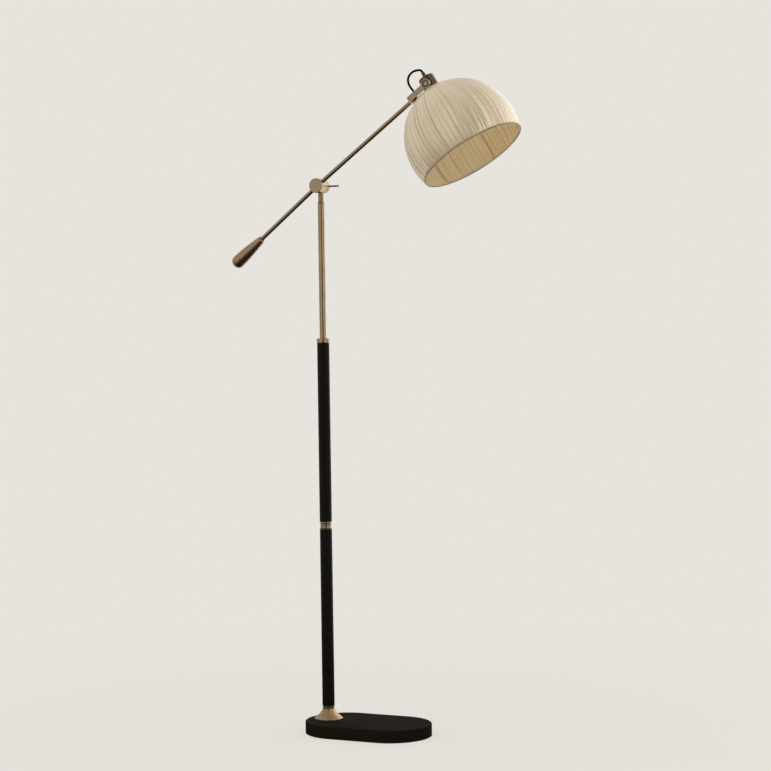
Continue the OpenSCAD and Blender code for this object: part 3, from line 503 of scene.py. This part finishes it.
def cloth(name, colour, shadow, threads=1700.0, rough=0.3, satin=0.0, coat=0.0, through=0.0):
    """Fine woven satin. Its UV map holds metres across and along the pleats, and a fold attribute,
    where the mesh has one, says how deep in a fold a point lies; the colour is darkened there as
    painted shade. `through` is how much light passes through the cloth."""
    material, n, shader = new_material(name)
    here = n.add("ShaderNodeUVMap", uv_map="cloth").outputs[0]
    weave = effect(n, WEAVE, Vector=here, Threads=threads)
    wander = n.noise(n.add("ShaderNodeTexCoord").outputs["Object"], 16.0, 3.0)
    crease = n.noise(n.vector("MULTIPLY", here, (420.0, 9.0, 1.0)), 1.0, 3.0, 0.6)
    share = n.math("ADD", n.scaled(weave["Slub"], 0.3, 0.7, 0.0, 0.5),
                   n.scaled(wander, 0.3, 0.7, 0.0, 0.3))
    fold = n.add("ShaderNodeAttribute", attribute_name="fold").outputs["Fac"]
    painted_fold_shade = tinted(shadow, *FOLD_SHADE_SHARES)
    # Painted shade: the cloth takes the fold colour as deep as the fold attribute says
    n.put(shader.inputs["Base Color"], n.mixed(fold, n.mixed(share, colour, shadow), painted_fold_shade))
    n.put(shader.inputs["Roughness"], n.scaled(weave["Slub"], 0.3, 0.7, rough - 0.04, rough + 0.1))
    shader.inputs["Coat Weight"].default_value = coat
    shader.inputs["Coat Roughness"].default_value = rough
    shader.inputs["Coat IOR"].default_value = 2.5
    fine = n.add("ShaderNodeBump", {"Height": weave["Height"], "Strength": 0.03, "Distance": SKIN_DEPTH})
    bump = n.add("ShaderNodeBump", {"Height": crease, "Strength": 0.07, "Distance": CREASE_DEPTH,
                                    "Normal": fine.outputs[0]})
    n.put(shader.inputs["Normal"], bump.outputs[0])
    shader.inputs["Metallic"].default_value = satin
    shader.inputs["Subsurface Weight"].default_value = through
    shader.inputs["Subsurface Radius"].default_value = (1.0, 0.75, 0.55)
    shader.inputs["Subsurface Scale"].default_value = 3.0 * MM
    shader.inputs["Sheen Weight"].default_value = 0.2
    shader.inputs["Sheen Roughness"].default_value = 0.35
    shader.inputs["Specular IOR Level"].default_value = 0.3
    return material


BRASS_LIGHT = (0.5, 0.385, 0.255, 1.0)
BRASS_DARK = (0.37, 0.265, 0.155, 1.0)
pole_brass = brass("brass_on_pole", POLE_FRAME, BRASS_LIGHT, BRASS_DARK)
tube_brass = brass("brass_upper_tube", POLE_FRAME, BRASS_LIGHT, BRASS_DARK, turned_lines=False)
clamp_brass = brass("brass_clamp", CLAMP_FRAME, BRASS_LIGHT, BRASS_DARK)
arm_brass = brass("brass_arm", ARM_FRAME, BRASS_LIGHT, BRASS_DARK, turned_lines=False)
tail_brass = brass("brass_tail_rod", TAIL_FRAME, BRASS_LIGHT, BRASS_DARK, turned_lines=False)
weight_brass = brass("brass_weight", TAIL_FRAME, (0.52, 0.37, 0.235, 1.0), (0.4, 0.275, 0.165, 1.0),
                     rough=0.34)
cup_brass = brass("brass_cup", HEAD_FRAME, (0.17, 0.12, 0.075, 1.0), (0.1, 0.07, 0.04, 1.0), handled=0.8)
knob_brass = brass("brass_knob", PIVOT_FRAME, (0.55, 0.45, 0.32, 1.0), (0.4, 0.3, 0.2, 1.0),
                   handled=1.0, groove=(4.2 * MM, 9.8 * MM))
foot_brass = brass("brass_foot", POLE_FRAME, (0.5, 0.345, 0.21, 1.0), (0.37, 0.245, 0.14, 1.0),
                   rough=0.32)
# Dark brass for the lever, and painted shadow where it dresses the collar at the weight's small end
lever_brass = brass("brass_lever", CLAMP_FRAME, (0.3, 0.22, 0.14, 1.0), (0.2, 0.14, 0.085, 1.0))
# Lighter, shinier brass on the lever's rounded tip: painted highlight
tip_brass_painted_highlight = brass("brass_lever_tip_painted_highlight", CLAMP_FRAME, (0.62, 0.52, 0.38, 1.0), (0.5, 0.4, 0.28, 1.0),
                  rough=0.25)
socket_brass = brass("brass_socket", HEAD_FRAME, (0.72, 0.53, 0.27, 1.0), (0.55, 0.38, 0.17, 1.0))
pole_black = paint("black_pole_paint", (0.0062, 0.0052, 0.0042, 1.0), 0.34, gloss=0.09)
base_black = paint("black_base_paint", (0.0095, 0.0068, 0.0042, 1.0), 0.7, gloss=0.03)
frame_paint = paint("cream_frame_paint", (0.6, 0.5, 0.33, 1.0), 0.45, gloss=0.35, rubbed=0.08)
black_plastic = moulded("black_moulding", (0.018, 0.018, 0.018, 1.0), 0.4)
lead_sheath = moulded("lead_sheath", (0.0016, 0.0016, 0.0016, 1.0), 0.4, 2200.0, 0.08, gloss=0.05)
pad_rubber = moulded("pad_rubber", (0.012, 0.012, 0.012, 1.0), 0.75, 700.0, 0.4)
fibre = moulded("fibre_washer", (0.02, 0.016, 0.012, 1.0), 0.7, 500.0, 0.3)
zinc = plated("zinc_plate", (0.62, 0.62, 0.6, 1.0), 0.28)
iron = cast("cast_iron_skin", (0.05, 0.05, 0.052, 1.0))
shade_cloth = cloth("pleated_cloth", (0.82, 0.675, 0.44, 1.0), (0.73, 0.585, 0.365, 1.0),
                    satin=0.26, coat=1.0)
# The inner skin: a lighter, warmer lining, made lighter still as painted light for the glow through the cloth
lining_with_painted_glow = cloth("pleated_lining_painted_glow", (0.97, 0.82, 0.62, 1.0), (0.92, 0.75, 0.53, 1.0),
                     rough=0.34, satin=0.05, coat=0.6, through=0.5)
trim_cloth = cloth("trim_binding", (0.22, 0.175, 0.12, 1.0), (0.15, 0.115, 0.08, 1.0), threads=1100.0)

NODE_MATERIALS = {
    foot_brass: ["bell_foot", "foot_collar"],
    pole_brass: ["mid_ring", "top_collar", "swivel_sleeve"],
    tube_brass: ["upper_tube"],
    clamp_brass: ["neck_hub", "clamp_nut", "arm_drum"],
    arm_brass: ["arm_tube", "yoke"],
    tail_brass: ["tail_rod"],
    weight_brass: ["counterweight"],
    cup_brass: ["holder_cup", "cup_bush"],
    knob_brass: ["pivot_knobs"],
    lever_brass: ["clamp_lever"],
    tip_brass_painted_highlight: ["lever_tip"],
    socket_brass: ["socket_shell", "centre_contact"],
    pole_black: ["lower_pole", "upper_pole"],
    base_black: ["base_cover"],
    frame_paint: ["shade_crown", "shade_frame"],
    black_plastic: ["cord_inlet", "yoke_grommet", "holder_cap", "holder_skirt", "shade_ring"],
    lead_sheath: ["head_lead"],
    pad_rubber: ["base_pad"],
    fibre: ["friction_washers", "pivot_spacers"],
    zinc: ["foot_stud", "foot_washer", "foot_nut", "pole_plugs", "mid_stud", "tube_bush",
           "clamp_bolt", "weight_screw", "pivot_nuts", "swivel_clip", "yoke_nut"],
    iron: ["base_ballast"],
    shade_cloth: ["shade_cover"],
    trim_cloth: ["shade_hem"],
}


def dress(obj, *materials):
    """Gives a piece its materials; a new mesh keeps its faces' material numbers."""
    if obj.data.materials:
        obj.data.materials.clear()
    for material in materials:
        obj.data.materials.append(material)
    return obj


for material, names in NODE_MATERIALS.items():
    for name in names:
        dress(NODES[name], material)

# ---- The pleated shade ----


def dome(turn, out):
    """A point of the dome as (radius, depth below the crown), moved out along its normal."""
    normal = Vector((math.sin(turn) / BELLY_R, -math.cos(turn) / HALF_H)).normalized()
    return Vector((BELLY_R * math.sin(turn), BELLY_AT - HALF_H * math.cos(turn))) + out * normal


def dome_turn(share):
    """The dome's angle at a share of the way from the crown to the mouth."""
    return TURN_TOP + (TURN_END - TURN_TOP) * share


def pleat_edges(count, rng):
    """Angles where the pleats begin, their widths uneven as hand folding leaves them."""
    widths = [rng.uniform(0.45, 1.6) for _ in range(count)]
    total = sum(widths)
    edges, angle = [], 0.0
    for width in widths:
        edges.append(angle)
        angle += math.tau * width / total
    return edges + [math.tau]


def pleat_height(rng):
    """How high a pleat stands: about one in three stands well up, and the rest lie flatter."""
    if rng.random() < 0.36:
        return rng.uniform(0.6, 0.95)
    return rng.uniform(0.18, 0.45)


# Across one pleat: share of its width, height above the fold below it, and depth in the fold for painted shade
PLEAT_ACROSS = [(0.0, 0.0, 1.0), (0.07, 0.66, 0.55), (0.15, 0.93, 0.12), (0.28, 1.0, 0.0), (0.5, 0.86, 0.0),
                (0.7, 0.6, 0.0), (0.84, 0.36, 0.15), (0.93, 0.16, 0.6)]
DOME_ROWS = 44
PLEAT_SEED = 7
DRIFT, DRIFT_WAVES = 0.2, 3.1       # how far a pleat's edge wanders, as a share of its width
SWELL, SWELL_WAVES = 0.25, 4.0      # how much its height varies on the way down


class Pleats:
    """The folds of the cover, each with its own place, height and wander."""

    def __init__(self, rng):
        self.edges = pleat_edges(PLEATS, rng)
        self.relief = [pleat_height(rng) for _ in range(PLEATS)]
        self.phase = [rng.uniform(0.0, 50.0) for _ in range(PLEATS + 1)]
        self.phase[-1] = self.phase[0]

    def edge(self, k, wide, share):
        """The angle of an edge between two pleats, which wanders most halfway down."""
        loose = math.sin(math.pi * share) ** 0.6
        wander = noise.noise(Vector((DRIFT_WAVES * share, self.phase[k], 0.4)))
        return self.edges[k] + DRIFT * wide * loose * wander

    def row(self, share, inwards):
        """Points round the dome at one share of the way down, each with its depth in a fold for painted shade."""
        turn = dome_turn(share)
        # The crown and the mouth hold the pleats flatter
        free = min(1.0, 0.3 + 5.0 * share) * min(1.0, 0.45 + 6.0 * (1 - share))
        points = []
        for j in range(PLEATS):
            wide = self.edges[j + 1] - self.edges[j]
            start, end = (self.edge(k, wide, share) for k in (j, j + 1))
            for across, height, deep in PLEAT_ACROSS:
                angle = start + (end - start) * across
                swell = SWELL * noise.noise(Vector((SWELL_WAVES * share, self.phase[j], 9.0 + across)))
                lift = PLEAT_RELIEF * math.sin(turn) * self.relief[j] * free * (height * (1 + swell) - 0.5)
                radius, depth = dome(turn, lift - inwards)
                spot = Vector((radius * math.cos(angle), radius * math.sin(angle), CROWN + depth))
                nearest = j if across < 0.5 else (j + 1) % PLEATS
                points.append((spot, deep * min(1.0, 1.3 * self.relief[nearest]) * free))
        return points


def cloth_skin(mesh, pleats, inwards, fold):
    """One side of the cloth, as rows of vertices from the crown to the mouth."""
    rows = []
    for i in range(DOME_ROWS + 1):
        row = []
        for spot, deep in pleats.row(i / DOME_ROWS, inwards):
            corner = mesh.verts.new(spot)
            # Depth in a fold, which the cloth material darkens as painted shade
            corner[fold] = deep
            row.append(corner)
        rows.append(row)
    return rows


def face_skin(mesh, rows, skin, meridian, cloth_uv):
    """Faces and UV for one side of the cloth: skin 0 looks outwards and skin 1 inwards."""
    count = len(rows[0])
    for i in range(DOME_ROWS):
        for j in range(count):
            k = (j + 1) % count
            corners = [(i, j), (i, j + 1), (i + 1, j + 1), (i + 1, j)]
            quad = [rows[i][j], rows[i][k], rows[i + 1][k], rows[i + 1][j]]
            if skin:
                quad.reverse()
                corners.reverse()
            face = mesh.faces.new(quad)
            face.material_index = skin
            for loop, (a, b) in zip(face.loops, corners):
                loop[cloth_uv].uv = (math.tau * BELLY_R * b / count, meridian * a / DOME_ROWS)


def make_cover():
    """The cloth, folded into knife pleats that lie on each other and gather at the crown, and the
    length of its meridian."""
    pleats = Pleats(random.Random(PLEAT_SEED))
    mesh = bmesh.new()
    cloth_uv = mesh.loops.layers.uv.new("cloth")
    # Each vertex's depth in a fold, which the cloth material darkens as painted shade
    fold = mesh.verts.layers.float.new("fold")
    skins = [cloth_skin(mesh, pleats, inwards, fold) for inwards in (0.0, CLOTH_T)]
    profile = [dome(dome_turn(i / DOME_ROWS), 0) for i in range(DOME_ROWS + 1)]
    meridian = sum((b - a).length for a, b in zip(profile, profile[1:]))
    for skin, rows in enumerate(skins):
        face_skin(mesh, rows, skin, meridian, cloth_uv)
    outside, inside = skins
    for a, b in ((outside[0], inside[0]), (inside[-1], outside[-1])):
        for j in range(len(a)):
            k = (j + 1) % len(a)
            mesh.faces.new((a[k], a[j], b[j], b[k]))
    bmesh.ops.recalc_face_normals(mesh, faces=mesh.faces)
    return new_object("pleated_cover", mesh, HEAD_FRAME), meridian


cover, meridian = make_cover()
dress(cover, shade_cloth, lining_with_painted_glow)
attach(cover, "head")
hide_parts("shade_cover")

BEAD_STEPS, BEAD_SIDES = 192, 14
BINDING_R, BINDING_STRETCH, BINDING_DOWN = 0.95 * MM, 1.1, 0.3 * MM
ROLL_R, ROLL_STRETCH, ROLL_DOWN, ROLL_OUT = 1.6 * MM, 0.9, 0.4 * MM, 0.3 * MM


def ring_bead(name, reach, height, radius, stretch):
    """A rolled edge of cloth: a ring with a rounded section, stretched along the shade's axis."""
    turns = [math.tau * i / BEAD_SIDES for i in range(BEAD_SIDES)]
    outline = [(reach + radius * math.cos(turn), height + stretch * radius * math.sin(turn))
               for turn in turns]
    ring = turned(name, outline, HEAD_FRAME, BEAD_STEPS, closed=True)
    uv = ring.data.uv_layers.new(name="cloth")
    to_head = HEAD_FRAME.inverted()
    for loop in ring.data.loops:
        spot = to_head @ ring.data.vertices[loop.vertex_index].co
        uv.data[loop.index].uv = (math.atan2(spot.y, spot.x) * reach, spot.z)
    return ring


mouth_r, mouth_depth = dome(TURN_END, -CLOTH_T / 2)
binding = ring_bead("mouth_binding", mouth_r, CROWN + mouth_depth + BINDING_DOWN,
                    BINDING_R, BINDING_STRETCH)
dress(binding, trim_cloth)
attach(binding, "head")
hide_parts("shade_hem")

brow_r, brow_depth = dome(TURN_TOP, ROLL_OUT)
crown_roll = ring_bead("crown_binding", brow_r, CROWN + brow_depth + ROLL_DOWN, ROLL_R, ROLL_STRETCH)
dress(crown_roll, shade_cloth)
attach(crown_roll, "head")

# ---- The lead from the lampholder to the arm ----

LEAD_D = 5.6 * MM
# What holds its ends: the cap, the cup and its bush behind the pivot, and the end of the arm
CAP_BACK, IN_CAP = 14 * MM, 8 * MM
CUP_BACK, IN_CUP = 22 * MM, 4 * MM
BUSH_L = 16 * MM
ARM_END, IN_ARM = 55 * MM, 2 * MM
GROMMET_L = 6 * MM
# The points of its loop in mm from the pivot, towards the shade and up
LEAD_LOOP = [
    (-23.0, 36.0), (-26.0, 37.7), (-29.4, 38.3), (-33.8, 38.3), (-38.7, 37.7), (-43.7, 36.3),
    (-48.4, 34.0), (-52.6, 30.8), (-56.0, 26.8), (-58.3, 22.2), (-59.5, 17.1), (-59.2, 11.8),
    (-57.7, 6.6), (-55.3, 1.5), (-52.2, -3.3), (-48.7, -7.8), (-45.1, -12.2), (-41.6, -16.3),
    (-39.3, -20.0), (-38.3, -23.9), (-39.0, -28.0)
]
ROUTE_STEPS = 6


def make_lead():
    """The lead, out of the bush behind the lampholder and round into the end of the arm."""
    out_of_bush = (CAP_BACK - IN_CAP, CUP_BACK - IN_CUP, CUP_BACK + BUSH_L)
    into_arm = (ARM_END - IN_ARM, ARM_END + GROMMET_L, ARM_END + 2 * GROMMET_L)
    route = [HEAD_PIVOT - back * SHADE_DIR for back in out_of_bush]
    route += [HEAD_PIVOT + Vector((x, 0, z)) * MM for x, z in LEAD_LOOP]
    route += [HEAD_PIVOT - back * ARM_DIR for back in into_arm]
    route = smooth_route(route, ROUTE_STEPS)
    lengths = [0.0]
    for a, b in zip(route, route[1:]):
        lengths.append(lengths[-1] + (b - a).length)
    # It is laid out straight while its bend is shared out, so that the bend goes by its length
    lead = tube_along("head_lead_sheath", [Vector((0, 0, length)) for length in lengths], LEAD_D / 2)
    dress(lead, lead_sheath)
    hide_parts("head_lead")
    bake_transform(lead)
    spots = [spot for ring in bar_rings(route, LEAD_D / 2) for spot in ring]
    for vertex, spot in zip(lead.data.vertices, spots):
        vertex.co = spot


make_lead()

# ---- Threads and ribs on the turned pieces ----


def worked(name, outline, cut, place, steps):
    """A turned ring whose radius is changed by cut(angle, height, number of the outline's point)."""
    mesh = bmesh.new()
    rings = []
    for k, (radius, height) in enumerate(outline):
        ring = []
        for i in range(steps):
            angle = math.tau * i / steps
            here = radius + cut(angle, height, k)
            ring.append(mesh.verts.new((here * math.cos(angle), here * math.sin(angle), height)))
        rings.append(ring)
    ring_strip(mesh, rings, True)
    bmesh.ops.recalc_face_normals(mesh, faces=mesh.faces)
    return sharp_edges(new_object(name, mesh, place), 50)


THREAD_PITCH = 3.6 * MM
THREAD_DEPTH = 1.1 * MM
SHELL_WALL = 0.4 * MM
SHELL_ROWS, SHELL_STEPS = 84, 96


def make_shell():
    """The rolled thread that holds the bulb: sheet brass, the same wave inside and outside."""
    heights = [SHELL_TOP + SHELL_L * i / SHELL_ROWS for i in range(SHELL_ROWS + 1)]
    outline = [(SHELL_R, h) for h in heights] + [(SHELL_R - SHELL_WALL, h) for h in reversed(heights)]

    def wave(angle, height, _):
        turn = height / THREAD_PITCH - angle / math.tau
        edge = min(height - SHELL_TOP, SHELL_TOP + SHELL_L - height) / THREAD_PITCH
        return -THREAD_DEPTH * (0.5 - 0.5 * math.cos(math.tau * turn)) * min(1.0, 1.5 * edge)

    return worked("threaded_shell", outline, wave, HEAD_FRAME, SHELL_STEPS)


shell = dress(make_shell(), socket_brass)
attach(shell, "head")
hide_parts("socket_shell")

RING_TOP = CROWN + 1.2 * MM
RING_H = 6 * MM
RING_FIT = 0.05 * MM
FLANGE_OUT, RIM_OUT = 8.5 * MM, 3 * MM          # how far the flange and the rim stand off the skirt
FLANGE_H = 2 * MM
RING_RIBS, RIB_STEPS = 36, 8
RIB_DEPTH = 0.45 * MM


def make_shade_ring():
    """The moulded ring under the crown, its rim ribbed for the fingers."""
    inner, flange, rim = (SKIRT_R + out for out in (RING_FIT, FLANGE_OUT, RIM_OUT))
    # Radius, height from the end next to the crown, and 1 where the ribs are cut
    profile = [(inner, 0.0, 0), (flange - 0.3 * MM, 0.0, 0), (flange, 0.3 * MM, 0),
               (flange, FLANGE_H - 0.3 * MM, 1), (flange - 0.4 * MM, FLANGE_H, 1),
               (rim + 0.3 * MM, FLANGE_H + 0.6 * MM, 0), (rim, FLANGE_H + MM, 1),
               (rim, RING_H - 0.4 * MM, 1), (rim - 0.5 * MM, RING_H, 1), (inner, RING_H, 0)]

    def ribs(angle, _, k):
        return -profile[k][2] * RIB_DEPTH * (0.5 + 0.5 * math.cos(RING_RIBS * angle))

    outline = [(radius, RING_TOP + height) for radius, height, _ in profile]
    return worked("ribbed_shade_ring", outline, ribs, HEAD_FRAME, RING_RIBS * RIB_STEPS)


shade_ring = dress(make_shade_ring(), black_plastic)
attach(shade_ring, "head")
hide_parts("shade_ring")

SKIRT_PITCH = 3.2 * MM
SKIRT_TURNS, TURN_STEPS = 7, 72
SKIRT_START = RING_TOP + 7.2 * MM
RIDGE_FOOT, RIDGE_TOP = 0.9 * MM, 0.3 * MM      # half the ridge's width at its foot and at its top
RIDGE_H = 0.6 * MM
SUNK = 0.3 * MM


def make_skirt_thread():
    """The coarse moulded thread on the lampholder's skirt, below the shade ring."""
    mesh = bmesh.new()
    rings = []
    count = SKIRT_TURNS * TURN_STEPS
    for i in range(count + 1):
        angle = math.tau * i / TURN_STEPS
        fade = min(1.0, 6.0 * i / count, 6.0 * (1 - i / count))
        foot, ridge = SKIRT_R - SUNK, SKIRT_R - 0.25 * MM + (RIDGE_H + 0.25 * MM) * fade
        height = SKIRT_START + SKIRT_PITCH * angle / math.tau
        section = [(foot, -RIDGE_FOOT), (ridge, -RIDGE_TOP), (ridge, RIDGE_TOP), (foot, RIDGE_FOOT)]
        rings.append([mesh.verts.new((r * math.cos(angle), r * math.sin(angle), height + z))
                      for r, z in section])
    ring_strip(mesh, rings)
    mesh.faces.new(reversed(rings[0]))
    mesh.faces.new(rings[-1])
    bmesh.ops.recalc_face_normals(mesh, faces=mesh.faces)
    return sharp_edges(new_object("skirt_thread", mesh, HEAD_FRAME))


thread = dress(make_skirt_thread(), black_plastic)
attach(thread, "head")

COLLAR_H = 2.2 * MM
COLLAR_OUT = 1.9 * MM
COLLAR_FIT = 0.05 * MM
COLLAR_LAP = 0.1 * MM                           # how far it reaches into the weight


def make_weight_collar():
    """The small stepped collar that the counterweight sits against, dressed dark as painted shadow of the gap
    there.
    """
    weight_start = min((v.co - CLAMP).dot(-TAIL_DIR) for v in NODES["counterweight"].data.vertices)
    inner, outer = TAIL_R - COLLAR_FIT, TAIL_R + COLLAR_OUT
    outline = [(inner, -COLLAR_H), (outer - 0.6 * MM, -COLLAR_H), (outer, -COLLAR_H + 0.6 * MM),
               (outer, -0.3 * MM), (outer - 0.4 * MM, COLLAR_LAP), (inner, COLLAR_LAP)]
    place = TAIL_FRAME @ Matrix.Translation((0, 0, weight_start))
    return turned("weight_collar_painted_shade", outline, place, closed=True)


weight_collar_painted_shade = make_weight_collar()
# Dark brass on the collar: painted shadow of the gap at the weight's small end
dress(weight_collar_painted_shade, lever_brass)
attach(weight_collar_painted_shade, "arm")

# ---- Stage: pale floor, soft light and the camera ----

BACKGROUND = (0.799, 0.773, 0.731, 1.0)
# The camera looks this far round from the front, this far down, and is rolled this much
VIEW_ROUND, VIEW_DOWN, VIEW_ROLL = (math.radians(turn) for turn in (25.23, 1.141, 0.826))
TO_CAMERA = Vector((math.sin(VIEW_ROUND), -math.cos(VIEW_ROUND), 0.0))      # level, back to the camera
TO_RIGHT = Vector((math.cos(VIEW_ROUND), math.sin(VIEW_ROUND), 0.0))        # level, across the view


def around(degrees, rise=0.0):
    """A direction so far round to the right from the camera's side, and so far up."""
    turn, up = math.radians(degrees), math.radians(rise)
    level = TO_CAMERA * math.cos(turn) + TO_RIGHT * math.sin(turn)
    return level * math.cos(up) + Vector((0, 0, math.sin(up)))


# What polished pieces see round the lamp, in degrees to the right from the camera's side: the pale
# backdrop, the darker open side of the studio in front, and the edge of the big soft light
ROUND = [(-180, 0.8), (-105, 0.8), (-82, 0.6), (-64, 0.65), (-46, 0.9), (-28, 0.85), (-10, 0.5), (8, 0.12),
         (29, 0.09), (34, 1.75), (50, 1.75), (58, 0.5), (88, 0.5), (95, 0.65), (180, 0.65)]
# The strong light behind the lamp to the right, which stands low
BACK_LIGHT = [(-180, 0.0), (90, 0.0), (94, 0.95), (160, 0.95), (176, 0.0)]
ROUND_TOP = 1.8
LOW, HIGH = 0.55, 0.8               # the rise over which the strong light fades out


def make_surround():
    """How bright the studio is in a direction, for reflections."""
    group, n = shader_group("studio_surround", [("NodeSocketVector", "Vector", None)],
                            [("NodeSocketFloat", "Level")])
    here = n.vector("NORMALIZE", n.given()["Vector"])
    turn = n.math("ARCTAN2", n.facing(here, TO_RIGHT), n.facing(here, TO_CAMERA))
    turn = n.scaled(turn, -math.pi, math.pi, 0.0, 1.0)
    levels = []
    for lights in (ROUND, BACK_LIGHT):
        ramp = n.add("ShaderNodeValToRGB", {0: turn})
        stops = ramp.color_ramp.elements
        for k, (degrees, level) in enumerate(lights):
            at = (degrees + 180) / 360
            stop = stops[k] if k < 2 else stops.new(at)
            stop.position = at
            stop.color = [level / ROUND_TOP] * 3 + [1.0]
        levels.append(n.math("MULTIPLY", ramp.outputs[0], ROUND_TOP))
    rise = n.add("ShaderNodeSeparateXYZ", {0: here}).outputs[2]
    low = n.scaled(rise, LOW, HIGH, 1.0, 0.0)
    n.finish(Level=n.math("ADD", levels[0], n.math("MULTIPLY", levels[1], low)))
    return group


SURROUND = make_surround()


def by_ray(n, plain, seen, mirrored):
    """One look for the camera, one for reflections and what glass lets through, and one that lights."""
    path = n.add("ShaderNodeLightPath").outputs
    metal_ray = n.math("MAXIMUM", path["Is Glossy Ray"], path["Is Transmission Ray"])
    lit = n.add("ShaderNodeMixShader", {0: metal_ray, 1: plain, 2: mirrored}).outputs[0]
    return n.add("ShaderNodeMixShader", {0: path["Is Camera Ray"], 1: lit, 2: seen}).outputs[0]


FLOOR_R = 60.0
FLOOR_COLOURS = ((0.775, 0.75, 0.709, 1.0), (0.785, 0.76, 0.719, 1.0))
EYE_H = 1.2                         # the height that reflections of the floor are reckoned from


def make_floor():
    """A large pale floor that takes the lamp's shadow and meets the background without a line."""
    mesh = bmesh.new()
    bmesh.ops.create_circle(mesh, cap_ends=True, segments=96, radius=FLOOR_R)
    floor = new_object("floor", mesh)
    material, n, shader = new_material("pale_floor")
    here = n.add("ShaderNodeTexCoord").outputs["Object"]
    mottle = n.noise(here, 3.0, 2.0)
    n.put(shader.inputs["Base Color"], n.mixed(n.scaled(mottle, 0.3, 0.7, 0.0, 1.0), *FLOOR_COLOURS))
    shader.inputs["Roughness"].default_value = 0.9
    shader.inputs["Specular IOR Level"].default_value = 0.0
    away = n.length(here)
    far_off = n.add("ShaderNodeEmission", {"Color": BACKGROUND, "Strength": 1.0}).outputs[0]
    share = n.scaled(away, 0.3, 2.0, 0.8, 1.0)
    seen = n.add("ShaderNodeMixShader", {0: share, 1: shader.outputs[0], 2: far_off}).outputs[0]
    # Metal sees it lit behind the lamp and far off, and dark near the lamp
    from_lamp = n.vector("SUBTRACT", here, (0.0, 0.0, EYE_H))
    ahead = n.facing(n.vector("NORMALIZE", here), TO_CAMERA)
    behind = n.math("MULTIPLY", n.scaled(ahead, 0.15, -0.35, 0.0, 1.0), n.scaled(away, 1.0, 2.2, 0.0, 1.0))
    lit_part = n.math("MAXIMUM", behind, n.scaled(away, 1.5, 9.0, 0.04, 1.0))
    level = n.math("MULTIPLY", effect(n, SURROUND, Vector=from_lamp)["Level"], lit_part)
    mirrored = n.add("ShaderNodeEmission", {"Color": BACKGROUND, "Strength": level}).outputs[0]
    end = next(x for x in n.tree.nodes if x.type == "OUTPUT_MATERIAL")
    n.put(end.inputs["Surface"], by_ray(n, shader.outputs[0], seen, mirrored))
    dress(floor, material)


# Soft light from all round, and more of it from two sides: (comes from, how narrow, how strong)
SOFT_LIGHT = 0.72
SOFT_COLOUR = (1.0, 0.98, 0.95, 1.0)
SOFT_SIDES = [(around(-70, 22), 3.0, 0.4), (around(100, -2), 6.0, 0.9)]


def make_world():
    """Even soft light; the camera sees the pale background in it, and metal its surround."""
    world = bpy.data.worlds.new("studio")
    bpy.context.scene.world = world
    world.use_nodes = True
    n = Nodes(world.node_tree)
    n.tree.nodes.clear()
    towards = n.add("ShaderNodeTexCoord").outputs["Generated"]
    strength = SOFT_LIGHT
    for comes_from, focus, gain in SOFT_SIDES:
        turn = n.facing(n.vector("NORMALIZE", towards), comes_from)
        lobe = n.math("POWER", n.math("MAXIMUM", turn, 0.0), focus)
        strength = n.math("ADD", strength, n.math("MULTIPLY", lobe, gain))
    light = n.add("ShaderNodeBackground", {"Color": SOFT_COLOUR, "Strength": strength}).outputs[0]
    seen = n.add("ShaderNodeBackground", {"Color": BACKGROUND, "Strength": 1.0}).outputs[0]
    level = effect(n, SURROUND, Vector=towards)["Level"]
    mirrored = n.add("ShaderNodeBackground", {"Color": BACKGROUND, "Strength": level}).outputs[0]
    n.add("ShaderNodeOutputWorld", {"Surface": by_ray(n, light, seen, mirrored)})


KEY_FROM = around(128, 24)
KEY_STRENGTH, KEY_SPREAD = 0.2, math.radians(60)
KEY_COLOUR = (0.98, 0.99, 1.0)


def add_key_light():
    """A weak sun with a soft edge, from behind the lamp on the right."""
    sun = bpy.data.lights.new("key", "SUN")
    sun.energy = KEY_STRENGTH
    sun.angle = KEY_SPREAD
    sun.color = KEY_COLOUR
    obj = bpy.data.objects.new("key", sun)
    obj.rotation_mode = "QUATERNION"
    obj.rotation_quaternion = KEY_FROM.to_track_quat("Z", "Y")
    bpy.context.scene.collection.objects.link(obj)


CAMERA_AT = Vector((2.2726, -4.4564, 0.975))
FOCAL_PX, PICTURE_PX = 1974.5, 771


def make_camera():
    """The view from in front and from the shade's side, nearly level."""
    ahead = -TO_CAMERA * math.cos(VIEW_DOWN) - Vector((0, 0, math.sin(VIEW_DOWN)))
    up = TO_RIGHT.cross(ahead)
    up = up * math.cos(VIEW_ROLL) + TO_RIGHT * math.sin(VIEW_ROLL)
    right = ahead.cross(up)
    lens = bpy.data.cameras.new("camera")
    lens.sensor_width = 36.0
    lens.lens = lens.sensor_width * FOCAL_PX / PICTURE_PX
    camera = bpy.data.objects.new("camera", lens)
    camera.matrix_world = Matrix((right, up, -ahead)).transposed().to_4x4()
    camera.location = CAMERA_AT
    lens.clip_start, lens.clip_end = 0.1, 100.0
    bpy.context.scene.collection.objects.link(camera)
    bpy.context.scene.camera = camera


make_floor()
make_world()
add_key_light()
make_camera()
bpy.context.scene.view_settings.view_transform = "Standard"
